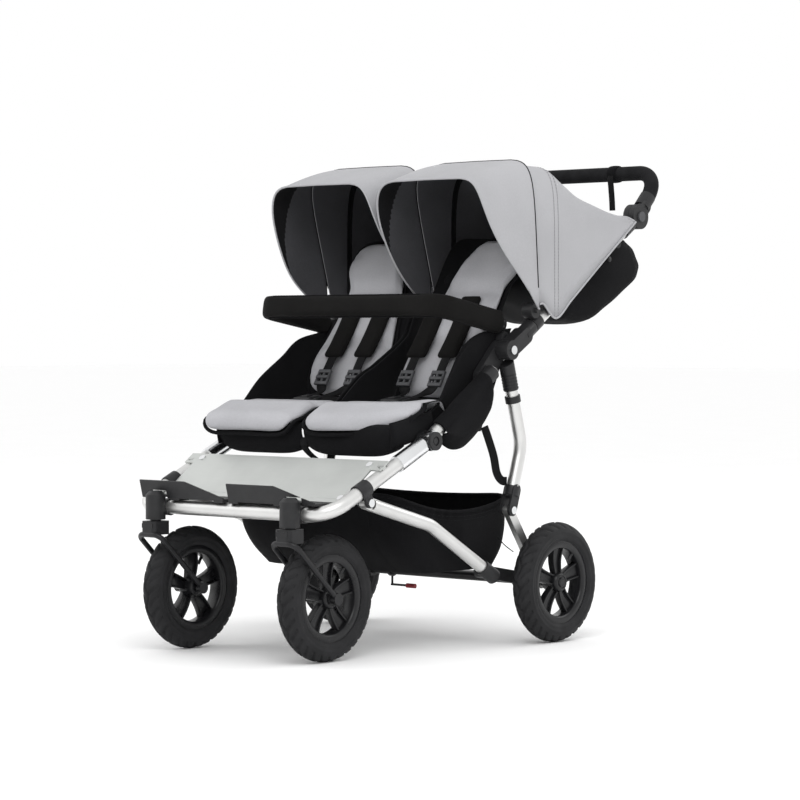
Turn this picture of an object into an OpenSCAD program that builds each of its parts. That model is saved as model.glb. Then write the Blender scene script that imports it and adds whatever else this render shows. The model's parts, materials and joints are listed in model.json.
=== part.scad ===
// Side by side double stroller with two hoods, a folding tube frame and four air tyres.
// X runs across (left seat at +X), Y runs backwards, Z is up, the ground is at zero.

/* [Wheels] */
// Diameter of every tyre
wheel_d = 248; // [236:1:256]
// Width of every tyre
tyre_w = 47; // [44:1:50]
// Outer diameter of the rims
rim_d = 170; // [156:1:176]
// Width of the rims
rim_w = 34; // [28:1:38]
// Radial depth of the rim ring
rim_depth = 14; // [10:1:18]
// Diameter of the wheel hubs
hub_d = 42; // [36:1:46]
// Length of the wheel hubs
hub_len = 42; // [36:1:46]
// Diameter of the axle pins inside the hubs
axle_pin_d = 12; // [10:0.5:14]
// Number of spokes in a rim
spokes = 5; // [4:1:7]
// Width of a spoke
spoke_w = 15; // [10:1:18]

/* [Layout] */
// Distance from the rear axle to the front wheel centres
wheelbase = 573; // [560:1:600]
// Distance between the rear wheel centres
rear_track = 603; // [601:1:620]
// Distance between the two swivel axes
caster_track = 370; // [360:1:376]
// Distance by which a front wheel trails its swivel axis
caster_trail = 98; // [92:1:104]

/* [Frame] */
// Half the distance between the two rails
rail_x = 262; // [261:0.5:264]
// Diameter of the rail tubes
rail_d = 28; // [26:0.5:29]
// Wall of the frame tubes
tube_wall = 2; // [1.5:0.1:3]
// Height of the front cross tube
cross_z = 290; // [284:1:300]
// Bend radius at the front corners of the frame
front_bend_r = 52; // [44:1:54]
// Slope of the front rails in degrees
front_slope = 25; // [24:0.5:26]
// Length of the front rails up to their knuckle
front_rail_len = 319; // [310:1:330]
// Slope of the seat rails in degrees
seat_slope = 34; // [33:0.5:35]
// Distance from the rail knuckle to the fold hinge
seat_rail_len = 297; // [290:1:305]
// Height of the fold hinge above the seat rail
hinge_lift = 15; // [14:0.5:17]
// Half the distance between the two uprights
upright_x = 270; // [269:0.5:272]
// Diameter of the uprights
upright_d = 28; // [26:0.5:29]
// Slope of the uprights in degrees
upright_slope = 33.2; // [32:0.2:34]
// Distance from the fold hinge to the handle hinge
upright_len = 525; // [515:1:540]
// Diameter of the rear legs and lower rails
leg_d = 26; // [24:0.5:27]
// Length of the lower legs
lower_leg_len = 184; // [178:1:190]
// Diameter of the rear axle
axle_d = 20; // [18:0.5:22]

/* [Handle] */
// Diameter of the handle tube
handle_d = 22; // [20:0.5:24]
// Thickness of the foam on the handle tube
foam_t = 5; // [4:0.5:6]
// Distance of the handle bar behind the handle hinge
handle_reach = 73.7; // [68:0.1:82]
// Height of the handle bar above the handle hinge
handle_rise = 98.9; // [92:0.1:110]
// Radius of the handle hubs
handle_hub_r = 27; // [25:0.5:30]
// Travel of the handle buttons
button_travel = 4; // [3:0.5:4.5]

/* [Bumper] */
// Half the width of the bumper bar between its corners
bumper_x = 240; // [236:0.5:240]
// Height of the padded bumper section
bumper_h = 46; // [40:1:50]
// Thickness of the padded bumper section
bumper_t = 24; // [20:1:25]
// Reach of the bumper bar in front of the fold hinge
bumper_reach = 180; // [170:1:195]
// Height of the bumper bar above the fold hinge
bumper_rise = 90; // [84:1:96]

/* [Seats] */
// Thickness of the seat pads
pad_t = 30; // [24:1:34]
// Depth of the seats from the crease to the front edge
seat_depth = 252; // [245:1:256]
// Distance of the seat crease behind the rail knuckles
crease_back = 160.9; // [151:0.1:166]
// Height of the seat crease above the rail knuckles
crease_rise = 45.2; // [41:0.1:55]
// Half width of one backrest
back_half_w = 103; // [96:1:105]
// Length of a backrest
back_len = 430; // [400:1:440]
// Slope of the backrests in degrees
back_slope = 60; // [58:0.5:62]
// Thickness of the backrest pads
back_pad_t = 28; // [22:1:32]

/* [Hoods] */
// Radius of the front part of a hood about its pivot
hood_r = 326; // [316:1:336]
// Outer side of the front part of a hood, from the middle of the stroller
hood_x = 297; // [296:0.5:300]
// Thickness of the hood shell
hood_t = 3; // [2:0.2:3.5]
// Slope of the crown of the hood front edge in degrees
hood_front = 125; // [121:0.2:129]
// Forward bow of the sides of the hood front edge in degrees
hood_bow = 9; // [0:0.5:12]
// Slope of the seam where the sliding front part starts, in degrees
hood_seam = 100; // [98:0.5:104]

/* [Basket] */
// Depth of the basket
basket_depth = 150; // [130:1:156]
// Half the width of the basket
basket_x = 234; // [225:0.5:234]
// Thickness of the basket fabric
basket_t = 3; // [2:0.2:4]

/* [Hidden] */
$fn = 48;
// Play of a running fit, gap between neighbours and overrun of a cut
fit = 0.05;
gap = 0.4;
over = 1;
// Wheel and layout values
wheel_r = wheel_d / 2;
rim_r = rim_d / 2;
axle_r = axle_d / 2;
pin_r = axle_pin_d / 2;
stem_y = -(wheelbase + caster_trail);
caster_x = caster_track / 2;
track_x = rear_track / 2;
grip_r = handle_d / 2 + foam_t;
strap_t = 2;
groove = 2;
strap_r = grip_r - groove / 2 + gap + strap_t;
// Frame tube radii
rail_r = rail_d / 2;
upright_r = upright_d / 2;
leg_r = leg_d / 2;
sleeve_t = 3;
mid_share = 0.5;
// Named points of the frame, as distance back from the rear axle and height
stem_to_tube = 26;
cross = [stem_y + stem_to_tube, cross_z];
knuckle = along(cross, front_slope, front_rail_len, 0);
hinge = along(knuckle, seat_slope, seat_rail_len, hinge_lift);
upright_drop = -2;
hub = along(hinge, upright_slope, upright_len, upright_drop);
mid_y = (wheelbase + wheel_r - hub[0] - handle_reach - strap_r) / 2;
axle = [0, wheel_r];
lug_reach = 104;
lug_drop = -26;
lug = along(cross, front_slope, lug_reach, lug_drop);
leg_slope = 124.4;
elbow = along(axle, leg_slope, lower_leg_len, 0);
leg_bend_back = 42;
leg_bend_rise = 132;
leg_bend = elbow + [leg_bend_back, leg_bend_rise];
hood_reach = 105;
hood_lift = 28;
hood_pivot = along(hinge, upright_slope, hood_reach, hood_lift);
crease = knuckle + [crease_back, crease_rise];
// Fold hinge pieces
hinge_pin_r = 6;
lug_in = 240;
lug_out = 255;
cheek_r = 20;
knuckle_out = 286;
head_t = 3.5;
head_r = 9;
clear_of_hinge = 57;
socket_len = 34;
// Small pins of the lower chassis
chassis_pin_r = 4;
eye_r = 13;
eye_t = 14;
cheek_t = 6;
// Handle hub pieces
hub_pin_r = 5;
button_r = 11;
button_proud = 4;
// Fork pieces
stem_r = 8;
fork_wire_r = 5.5;
fork_x = 32;
fork_front = 19;
fork_bend_r = 18;
fork_z = 236;
housing_r = 20;
housing_z0 = 266;
housing_z1 = 323;
housing_clamp_w = 34;
housing_round = 9;
clamp_r = rail_r + sleeve_t;
// Clearance of the sliding latch from its neighbours along the leg
cap_top = 26;
latch_top = 51;
latch_len = 34;
latch_travel = 12;
collar_len = 14;

// Points and directions in the side plane
function dir(a) = [cos(a), sin(a)];
function along(p, a, reach, lift) = p + reach * dir(a) + lift * dir(a + 90);
function at(x, p) = [x, p[0], p[1]];
function mix(a, b, s) = a + (b - a) * s;
function unit(v) = v / norm(v);

// Everything is laid out from the rear axle, then set on the middle of the footprint
module place() {
  translate([0, mid_y, 0]) children();
}

module both() {
  children();
  mirror([1, 0, 0]) children();
}

module side(s) {
  if (s > 0) children();
  else mirror([1, 0, 0]) children();
}

// Turn the Z axis along a line from a towards b
module aim(a, b) {
  v = b - a;
  translate(a) rotate([0, acos(v[2] / norm(v)), atan2(v[1], v[0])]) children();
}

module rod(a, b, r) {
  aim(a, b) cylinder(r = r, h = norm(b - a));
}

module ring(a, b, r_out, r_in) {
  aim(a, b) linear_extrude(norm(b - a)) {
    difference() {
      circle(r_out);
      circle(r_in);
    }
  }
}

// A section swept along a bent path, each length drawn in the frame where the last one ended
// Lengths and angles are rounded, so that neighbouring lengths meet exactly
fine = 1000;
function snap(v) = round(v * fine) / fine;
// A hairline joint is left where a bend isn't square
hairline = 0.02;
function joint(path, i) =
  (i == 0 || i == len(path) - 1 || abs(turn(path, i) - 90) < 1 / fine) ? 0 : hairline;
function turn(path, i) = acos(unit(path[i] - path[i - 1]) * unit(path[i + 1] - path[i]));
function cut(path, i, bend_r) =
  (i == 0 || i == len(path) - 1) ? 0 : bend_r * tan(turn(path, i) / 2);

module sweep(path, bend_r) {
  u = unit(path[1] - path[0]);
  b = snap(acos(u[2]));
  a = snap(atan2(u[1], u[0]));
  x = [cos(b) * cos(a), cos(b) * sin(a), -sin(b)];
  v = unit(path[2] - path[1]);
  n = unit(v - u * (u * v));
  translate(path[0]) rotate([0, b, a]) rotate([0, 0, snap(atan2(n * cross(u, x), n * x))]) {
    trail(path, 0, n, bend_r) children();
  }
}

module trail(path, i, x, bend_r) {
  u = unit(path[i + 1] - path[i]);
  h = snap(norm(path[i + 1] - path[i]) - cut(path, i, bend_r) - cut(path, i + 1, bend_r));
  translate([0, 0, joint(path, i)]) linear_extrude(h - joint(path, i) - joint(path, i + 1)) children();
  if (i < len(path) - 2) {
    v = unit(path[i + 2] - path[i + 1]);
    n = unit(v - u * (u * v));
    a = snap(turn(path, i + 1));
    translate([0, 0, h]) rotate([0, 0, snap(atan2(n * cross(u, x), n * x))]) translate([bend_r, 0, 0]) {
      rotate([90, 0, 180]) rotate_extrude(angle = a) translate([bend_r, 0]) children();
      rotate([0, a, 0]) translate([-bend_r, 0, 0]) {
        trail(path, i + 1, cross(cross(u, n), v), bend_r) children();
      }
    }
  }
}

module tube(path, r, wall, bend_r) {
  sweep(path, bend_r) {
    difference() {
      circle(r);
      circle(r - wall);
    }
  }
}

// A plate drawn in the side plane and given a thickness across
module plate(x0, x1) {
  translate([x0, 0, 0]) rotate([90, 0, 90]) linear_extrude(x1 - x0) children();
}

module disc(p, r) {
  translate(p) circle(r);
}

module capsule(a, b, r) {
  reach = snap(norm(b - a));
  translate(a) rotate(snap(atan2(b[1] - a[1], b[0] - a[0]))) {
    circle(r);
    translate([reach, 0]) circle(r);
    translate([0, -r]) square([reach, 2 * r]);
  }
}

module round_rect(w, h, r) {
  square([w - 2 * r, h], center = true);
  square([w, h - 2 * r], center = true);
  for (sx = [-1, 1], sy = [-1, 1]) {
    translate([sx * (w / 2 - r), sy * (h / 2 - r)]) circle(r);
  }
}

module bore(x0, x1, p, r) {
  rod(at(x0 - over, p), at(x1 + over, p), r);
}

// Front frame, one bent tube from knuckle to knuckle
rail_end = 21;
rail_stop = along(knuckle, front_slope, -rail_end, 0);
module front_frame() {
  color("silver") place() tube(
    [at(rail_x, rail_stop), at(rail_x, cross), at(-rail_x, cross), at(-rail_x, rail_stop)],
    rail_r, tube_wall, front_bend_r
  );
}

// Chrome knuckles that join front rails and seat rails, with plugs inside both tubes
knuckle_r = 20;
knuckle_half = 16;
plug_len = 20;
module rail_knuckles() {
  plug_r = rail_r - tube_wall - fit;
  color("gainsboro") place() both() {
    plate(rail_x - knuckle_half, rail_x + knuckle_half) disc(knuckle, knuckle_r);
    rod(at(rail_x, knuckle), at(rail_x, along(rail_stop, front_slope, -plug_len, 0)), plug_r);
    rod(at(rail_x, knuckle), at(rail_x, along(knuckle, seat_slope, rail_end + plug_len, 0)), plug_r);
  }
}

rail_sleeve_len = 82;
module rail_sleeves() {
  low = along(rail_stop, front_slope, -rail_sleeve_len, 0);
  color("gainsboro") place() both() {
    ring(at(rail_x, low), at(rail_x, rail_stop), rail_r + sleeve_t, rail_r + fit);
  }
}

cap_r = 18.5;
cap_t = 6;
module rail_caps() {
  x0 = rail_x + knuckle_half;
  color("dimgray") place() both() {
    difference() {
      plate(x0, x0 + cap_t) disc(knuckle, cap_r);
      plate(x0 + cap_t / 2, x0 + cap_t + over) disc(knuckle, cap_r / 2);
    }
    plate(x0, x0 + cap_t / 2 + cap_t / 4) disc(knuckle, cap_r / 3);
  }
}

// Seat rails up to the fold hinge
module seat_rails() {
  low = along(knuckle, seat_slope, rail_end, 0);
  high = along(knuckle, seat_slope, seat_rail_len - clear_of_hinge + sleeve_t, 0);
  color("silver") place() both() {
    ring(at(rail_x, low), at(rail_x, high), rail_r, rail_r - tube_wall);
  }
}

// Brackets at the top of the seat rails, with the fixed half of the fold hinge and the bumper post
pin_back = 14;
pin_rise = 27;
bumper_pin = hinge + [pin_back, pin_rise];
bumper_pin_r = 5;
post_r = 11;
module hinge_brackets() {
  rail_top = along(knuckle, seat_slope, seat_rail_len - clear_of_hinge, 0);
  rail_low = along(rail_top, seat_slope, -socket_len, 0);
  color("dimgray") place() both() difference() {
    union() {
      rod(at(rail_x, rail_low), at(rail_x, rail_top), rail_r + sleeve_t);
      plate(lug_in, lug_out) capsule(mix(rail_low, rail_top, mid_share), hinge, cheek_r);
      plate(lug_in, lug_out) capsule(hinge, bumper_pin, post_r);
    }
    rod(at(rail_x, knuckle), at(rail_x, along(rail_top, seat_slope, sleeve_t, 0)), rail_r + fit);
    bore(lug_in, lug_out, hinge, hinge_pin_r + fit);
    bore(lug_in, lug_out, bumper_pin, bumper_pin_r + fit);
  }
}

module fold_pins() {
  color("gainsboro") place() both() {
    rod(at(lug_in - head_t, hinge), at(knuckle_out + head_t, hinge), hinge_pin_r);
    plate(lug_in - gap - head_t, lug_in - gap) disc(hinge, head_r);
    plate(knuckle_out + gap, knuckle_out + gap + head_t) disc(hinge, head_r);
  }
}

// Collars on the front rails that carry the lower chassis
lug_collar_len = 30;
module chassis_lugs() {
  mid = along(cross, front_slope, lug_reach, 0);
  color("dimgray") place() both() difference() {
    union() {
      rod(
        at(rail_x, along(mid, front_slope, -lug_collar_len / 2, 0)),
        at(rail_x, along(mid, front_slope, lug_collar_len / 2, 0)), rail_r + sleeve_t
      );
      plate(rail_x - eye_t / 2 - cheek_t, rail_x + eye_t / 2 + cheek_t) capsule(mid, lug, eye_r - sleeve_t);
    }
    plate(rail_x - eye_t / 2 - gap, rail_x + eye_t / 2 + gap) disc(lug, eye_r + eye_t / 2);
    rod(at(rail_x, cross), at(rail_x, knuckle), rail_r + fit);
    bore(rail_x - rail_r - sleeve_t, rail_x + rail_r + sleeve_t, lug, chassis_pin_r + fit);
  }
}

// Sloping aluminium plate between the front rails, with four rivets
plate_x = 245;
plate_t = 3;
plate_reach = 189;
plate_lift = 22;
plate_top = along(cross, front_slope, plate_reach, plate_lift);
plate_slope = 36;
plate_len = 132;
rivet_in = 14;
rivet_r = 4;
rivet_head = 7;
ear_len = 30;
ear_x = 270;
spacer_r = 8;
module footplate() {
  low = along(plate_top, plate_slope, -plate_len, 0);
  ear_low = along(plate_top, plate_slope, -ear_len, 0);
  ear_mid = mix(plate_top, ear_low, mid_share);
  color("lightgray") place() difference() {
    union() {
      plate(-plate_x, plate_x) slab(plate_top, low);
      plate(-ear_x, ear_x) slab(plate_top, ear_low);
      both() rod(at(rail_x, ear_mid), at(rail_x, along(ear_mid, front_slope, 0, -plate_lift / 2)), spacer_r);
    }
    both() rod(at(rail_x, cross), at(rail_x, knuckle), rail_r + fit);
    footplate_holes() cylinder(r = rivet_r + fit, h = 2 * plate_t + 2 * over, center = true);
  }
}

// A flat strip in the side plane, from one point to another along the plate's slope
module slab(a, b) {
  polygon([a, b, along(b, plate_slope, 0, -plate_t), along(a, plate_slope, 0, -plate_t)]);
}

module footplate_holes() {
  for (sx = [-1, 1], reach = [rivet_in, plate_len - rivet_in]) {
    p = along(plate_top, plate_slope, -reach, 0);
    translate(at(sx * (plate_x - rivet_in), p)) rotate([plate_slope, 0, 0]) children();
  }
}

module footplate_rivets() {
  color("gainsboro") place() footplate_holes() {
    translate([0, 0, -plate_t - rivet_r]) cylinder(r = rivet_r, h = plate_t + rivet_r);
    cylinder(r = rivet_head, h = rivet_r / 2);
    translate([0, 0, -plate_t - rivet_r]) cylinder(r = rivet_head, h = rivet_r - gap / 2);
  }
}

// Two moulded footrests in front of the plate, each with a raised front lip and a foot on the cross tube
footrest_t = 4;
footrest_depth = 66;
footrest_lip = 32;
footrest_in = 8;
footrest_x = 236;
footrest_foot = 26;
foot_starts = [8, 130];
taper_share = 0.55;
module footrests() {
  back = along(plate_top, plate_slope, -plate_len, -plate_t) - [2 * gap + footrest_t / 2, 0];
  front = back - [footrest_depth, 0];
  lip = front + [-footrest_lip / 4, footrest_lip];
  foot_low = cross_z + rail_r + gap;
  color("dimgray") place() for (s = [-1, 1]) difference() {
    union() {
      translate([footrest_start(s), 0, 0]) plate(0, footrest_x - footrest_in) {
        capsule(back, front, footrest_t / 2);
        capsule(front, lip, footrest_t / 2);
      }
      for (x = foot_starts) {
        translate([min(s * x, s * (x + footrest_foot)), cross[0] - rail_r, foot_low]) {
          cube([footrest_foot, 2 * rail_r, back[1] - foot_low]);
        }
      }
    }
    translate([footrest_start(s), 0, 0]) footrest_taper(front, lip);
    both() housing_space();
  }
}
function footrest_start(s) = min(s * footrest_in, s * footrest_x);

// Room for a swivel housing, cut out of the footrests
module housing_space() {
  translate([caster_x - housing_r - over, stem_y - housing_r - over, housing_z0]) {
    cube([2 * (housing_r + over), housing_r + stem_to_tube + clamp_r + 2 * over, housing_z1 - housing_z0 + over]);
  }
}

// The lip of a footrest runs out to nothing at its left end
module footrest_taper(front, lip) {
  w = footrest_x - footrest_in;
  rotate([90, 0, 0]) translate([0, 0, -front[0] - footrest_t]) linear_extrude(footrest_depth) polygon([
    [w * taper_share, lip[1] + footrest_t], [w * taper_share, lip[1] + footrest_t / 2],
    [w + over, front[1] + footrest_t], [w + over, lip[1] + footrest_t]
  ]);
}

// Round housings that carry the front wheel stems, each with a clamp on the cross tube
housing_cap = 8;
module swivel_housings() {
  color("dimgray") place() both() translate([caster_x, stem_y, 0]) difference() {
    union() {
      translate([0, 0, housing_z0]) cylinder(r = housing_r, h = housing_z1 - housing_cap - housing_z0);
      translate([0, 0, housing_z1 - housing_cap]) {
        cylinder(r1 = housing_r, r2 = housing_r - housing_cap, h = housing_cap);
      }
      translate([0, stem_to_tube, cross_z]) rotate([0, 90, 0]) {
        cylinder(r = clamp_r, h = housing_clamp_w, center = true);
      }
    }
    translate([0, 0, housing_z0 - over]) cylinder(r = stem_r + fit, h = stem_len + over);
    translate([0, stem_to_tube, cross_z]) rotate([0, 90, 0]) {
      cylinder(r = rail_r + fit, h = housing_clamp_w + 2 * over, center = true);
    }
  }
}

// Black seat shells, each a trough with a hanging front apron, side walls and an outer wing
shell_t = 5;
shell_in = 4;
shell_out = 239;
apron_drop = 58;
wing_gap = 3.4;
wrap_t = 3;
wrap_r = rail_r + gap + wrap_t;
wrap_share = 0.14;
wrap_end_share = 0.66;
web_r = 8;
centre_wall_share = 0.5;
outer_wall_share = 0.28;
wing_t = 3;
module seat_shells() {
  wrap_low = along(knuckle, seat_slope, seat_rail_len * wrap_share, 0);
  wrap_high = along(knuckle, seat_slope, seat_rail_len * wrap_end_share, 0);
  hinge_foot = along(knuckle, seat_slope, seat_rail_len, 0);
  web = web_r * dir(seat_slope);
  color("black") place() both() {
    plate(shell_in, shell_out) shell_profile();
    difference() {
      union() {
        plate(shell_in, shell_in + shell_t - over) wall_profile(centre_wall_share);
        plate(shell_out - shell_t + over, shell_out) wall_profile(outer_wall_share);
      }
      bore(shell_in, shell_out, crease, recline_r + fit);
    }
    plate(rail_x + rail_r + wing_gap - gap / 2, rail_x + rail_r + wing_gap + wing_t) wing_profile();
    difference() {
      union() {
        rod(at(rail_x, wrap_low), at(rail_x, wrap_high), wrap_r);
        plate(shell_out - over, rail_x - rail_r - over) capsule(wrap_low + web, wrap_high - web, web_r);
      }
      rod(at(rail_x, knuckle), at(rail_x, hinge_foot), rail_r + gap);
    }
  }
}

seat_base = crease + [0, -pad_t];
seat_lip = crease + [-seat_depth + pad_t / 2, -pad_t / 2];
module shell_profile() {
  capsule(seat_base, seat_lip, shell_t / 2);
  capsule(seat_lip, seat_lip + [shell_t, -apron_drop], shell_t / 2);
}

// Gusset between seat and backrest, as high as a share of the backrest
wall_start_share = 0.12;
wall_fan = 14;
module wall_profile(rise_share) {
  polygon([
    mix(seat_lip, seat_base, wall_start_share), seat_base + [0, -shell_t / 2],
    along(crease, back_slope, back_len * rise_share, 0),
    along(crease, back_slope + wall_fan, back_len * rise_share, 0)
  ]);
}

wing_shares = [[0.14, 0.04], [0.72, 0.04], [0.68, -0.28], [0.5, -0.34], [0.2, -0.12]];
module wing_profile() {
  polygon([for (w = wing_shares) along(knuckle, seat_slope, seat_rail_len * w[0], seat_rail_len * w[1])]);
}

// A cushion as a closed net of points: crowned on top, flat below, sides drawn in, with sewn channels
net = 20;
draw_share = 0.05;
crown_share = 0.62;
channel_shares = [-0.34, 0.3];
channel_half_share = 0.07;
channel_depth_share = 0.22;
rim_share = 0.12;
edge_power = 8;
round_power = 0.3;
function net_at(i) = 2 * i / net - 1;
function edge(u, v) = (1 - pow(abs(u), edge_power)) * (1 - pow(abs(v), edge_power));
function channel(v) = max([for (c = channel_shares) exp(-pow((v - c) / channel_half_share, 2))]);
function cushion_top(u, v, w, l, t) = [
  w / 2 * u * (1 - draw_share * (1 - v * v)), l / 2 * v * (1 - draw_share * (1 - u * u) * v * v),
  t * pow(edge(u, v), round_power) * (crown_share + (1 - crown_share) * (1 - u * u) * (1 - v * v))
    * (1 - channel_depth_share * channel(v))
];
function cushion_low(u, v, w, l) = [
  w / 2 * u * (1 - draw_share * (1 - v * v)), l / 2 * v * (1 - draw_share * (1 - u * u) * v * v), 0
];
module cushion(w, l, t) {
  n = net + 1;
  points = concat(
    [for (j = [0 : net], i = [0 : net]) cushion_top(net_at(i), net_at(j), w, l, t) + [0, 0, t * rim_share]],
    [for (j = [0 : net], i = [0 : net]) cushion_low(net_at(i), net_at(j), w, l)]
  );
  sheet = [for (j = [0 : net - 1], i = [0 : net - 1]) let (k = j * n + i) [k, k + 1, k + n + 1, k + n]];
  tops = [for (q = sheet) each [[q[0], q[2], q[1]], [q[0], q[3], q[2]]]];
  below = n * n * [1, 1, 1];
  lows = [for (q = sheet) each [[q[0], q[1], q[2]] + below, [q[0], q[2], q[3]] + below]];
  loop = concat(
    [for (i = [0 : net - 1]) i], [for (j = [0 : net - 1]) j * n + net],
    [for (i = [0 : net - 1]) n * n - 1 - i], [for (j = [0 : net - 1]) (net - j) * n]
  );
  m = len(loop);
  walls = [for (k = [0 : m - 1]) each [
    [loop[k], loop[(k + 1) % m], loop[k] + n * n],
    [loop[(k + 1) % m], loop[(k + 1) % m] + n * n, loop[k] + n * n]
  ]];
  polyhedron(points, concat(tops, lows, walls));
}

// Seat pads lie on the shells
pad_w = 224;
crown_rise_share = 0.8;
module seat_pads() {
  color("lightgray") place() both() {
    top = seat_lip + [0, shell_t / 2 + gap];
    low = seat_base + [0, shell_t / 2 + gap];
    slope = atan2(low[1] - top[1], low[0] - top[0]);
    centre = along(mix(low, top, mid_share), slope, -pad_t / 4, 0);
    translate(at((shell_in + shell_out) / 2, centre)) rotate([slope, 0, 0]) {
      cushion(pad_w, norm(top - low) + pad_t / 2, pad_t * crown_rise_share);
    }
  }
}

// Crotch strap, lap belt and buckle of each seat
belt_w = 25;
belt_t = 3;
belt_lift = 15;
belt_share = 0.4;
belt_span_share = 0.85;
crotch_share = 1.5;
buckle = [46, 40, 14];
module lap_belts() {
  color("black") place() both() {
    x = (shell_in + shell_out) / 2;
    p = mix(crease, seat_lip, belt_share) + [0, belt_lift];
    translate(at(x, p)) {
      translate([-buckle[0] / 2, -buckle[1] / 2, 0]) cube(buckle);
      translate([-belt_w / 2, -buckle[1] * crotch_share, 0]) cube([belt_w, buckle[1] * crotch_share, belt_t]);
      translate([-back_half_w * belt_span_share, 0, buckle[2] / 3]) {
        cube([2 * back_half_w * belt_span_share, belt_w, belt_t]);
      }
    }
  }
}

// Bumper bar: a bent core with flat eyes, inside a padded sleeve
bumper_core_r = 8;
bumper_corner = hinge + [-bumper_reach, bumper_rise];
bumper_end_back = 26;
bumper_end_rise = 54;
bumper_end = hinge + [bumper_end_back, bumper_end_rise];
bumper_eye_t = 12;
bumper_bend_r = 40;
function bumper_path() = [
  at(bumper_x, bumper_end), at(bumper_x, bumper_corner),
  at(-bumper_x, bumper_corner), at(-bumper_x, bumper_end)
];
module bumper_core() {
  eye_out = lug_in - gap;
  color("black") place() {
    sweep(bumper_path(), bumper_bend_r) circle(bumper_core_r);
    both() {
      plate(eye_out - bumper_eye_t, eye_out) capsule(bumper_pin, bumper_end, post_r);
      rod(at(eye_out - over, bumper_pin), at(lug_out - fit, bumper_pin), bumper_pin_r);
    }
  }
}

// Padded sleeve with a tall rounded section, swept along the core
sleeve_start_share = 0.16;
module bumper_sleeve() {
  start = mix(bumper_end, bumper_corner, sleeve_start_share);
  path = [
    at(bumper_x, start), at(bumper_x, bumper_corner), at(-bumper_x, bumper_corner), at(-bumper_x, start)
  ];
  color("black") place() sweep(path, bumper_bend_r) {
    difference() {
      round_rect(bumper_t, bumper_h, bumper_t / 2 - over);
      circle(bumper_core_r + fit);
    }
  }
}

// Uprights from the fold hinge to the handle hubs
hub_clear = 2;
upright_low = along(hinge, upright_slope, clear_of_hinge, upright_drop);
upright_high = along(hub, upright_slope, -handle_hub_r - hub_clear - sleeve_t, 0);
module uprights() {
  color("silver") place() both() {
    ring(at(upright_x, upright_low), at(upright_x, upright_high), upright_r, upright_r - tube_wall);
  }
}

// Moving half of the fold hinge
module upright_brackets() {
  top = along(upright_low, upright_slope, socket_len, 0);
  color("dimgray") place() both() difference() {
    union() {
      rod(at(upright_x, upright_low), at(upright_x, top), upright_r + sleeve_t);
      plate(lug_out + gap, knuckle_out) capsule(hinge, upright_low, upright_r + sleeve_t - over);
      plate(lug_out + gap, knuckle_out) disc(hinge, cheek_r);
    }
    rod(at(upright_x, upright_low), at(upright_x, upright_high), upright_r + fit);
    bore(lug_out, knuckle_out, hinge, hinge_pin_r + fit);
  }
}

// Clamps on the uprights that carry the hoods
clamp_len = 24;
clamp_x0 = 261.8;
clamp_x1 = 273;
clamp_lug_r = 11;
clamp_boss_r = 16;
module canopy_clamps() {
  low = along(hinge, upright_slope, hood_reach - clamp_len / 2, upright_drop);
  high = along(low, upright_slope, clamp_len, 0);
  color("dimgray") place() both() difference() {
    union() {
      rod(at(upright_x, low), at(upright_x, high), upright_r + sleeve_t);
      plate(clamp_x0, clamp_x1) capsule(mix(low, high, mid_share), hood_pivot, clamp_lug_r);
      plate(clamp_x0, hood_x - nest - hood_t - gap) disc(hood_pivot, clamp_boss_r);
      plate(clamp_x0, hood_x - hood_t - gap) disc(hood_pivot, clamp_lug_r / 2);
    }
    rod(at(upright_x, upright_low), at(upright_x, upright_high), upright_r + fit);
  }
}

// Rear cross tube with the centre arm that holds the inner hood pivots
cross_to_hub = 85;
cross_drop = -17;
cross_r = 10;
arm_half = 2;
arm_h = 9;
arm_share = 0.55;
module rear_cross_tube() {
  p = along(hinge, upright_slope, upright_len - cross_to_hub, cross_drop);
  color("dimgray") place() {
    difference() {
      rod(at(-upright_x, p), at(upright_x, p), cross_r);
      both() rod(at(upright_x, upright_low), at(upright_x, upright_high), upright_r + fit);
    }
    plate(-arm_half, arm_half) capsule(p, mix(p, hood_pivot, arm_share), arm_h);
  }
}

// Hood shells: arches lofted from one station to the next, the rear part nested in the front part
// A station holds its crown, foot, inner side, outer side and the forward bow of its sides in degrees
arch_n = 24;
arch_power = 8;
arch_ease = 2.5;
hood_in = 3.5;
nest = 6;
foot_start = 4;
function power(c, p) = sign(c) * pow(abs(c), p);
function station(slope, reach, foot, inset, bow) =
  [along(hood_pivot, slope, reach, 0), foot, hood_in + inset, hood_x - inset, bow];
front_stations = [for (i = [0 : 4]) let (a = mix(hood_front, hood_seam, i / 4))
  station(a, hood_r, along(hood_pivot, a, foot_start, 0), 0, hood_bow * (1 - i / 4))];
foot_reach_shares = [0.227, 0.25, 0.286, 0.41, 0.571, 0.743, 0.895, 0.943];
foot_lift_shares = [1.21, 0.93, -0.71, -0.57, -0.36, -0.14, 0.04, 0.11];
crown_slopes = [104, 90, 78, 68, 58, 48, 39, 34];
crown_shares = [0.98, 0.98, 0.95, 0.91, 0.9, 0.95, 1.03, 1.12];
rear_stations = [for (i = [0 : 7]) station(
  crown_slopes[i], hood_r * crown_shares[i],
  along(hinge, upright_slope, upright_len * foot_reach_shares[i], hood_lift * foot_lift_shares[i]), nest, 0
)];
function swing(p, a) = let (v = p - hood_pivot)
  hood_pivot + [v[0] * cos(a) - v[1] * sin(a), v[0] * sin(a) + v[1] * cos(a)];
function arch_angle(j) = let (t = 2 * j / arch_n - 1) 90 + 90 * sign(t) * (1 - pow(1 - abs(t), arch_ease));
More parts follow.
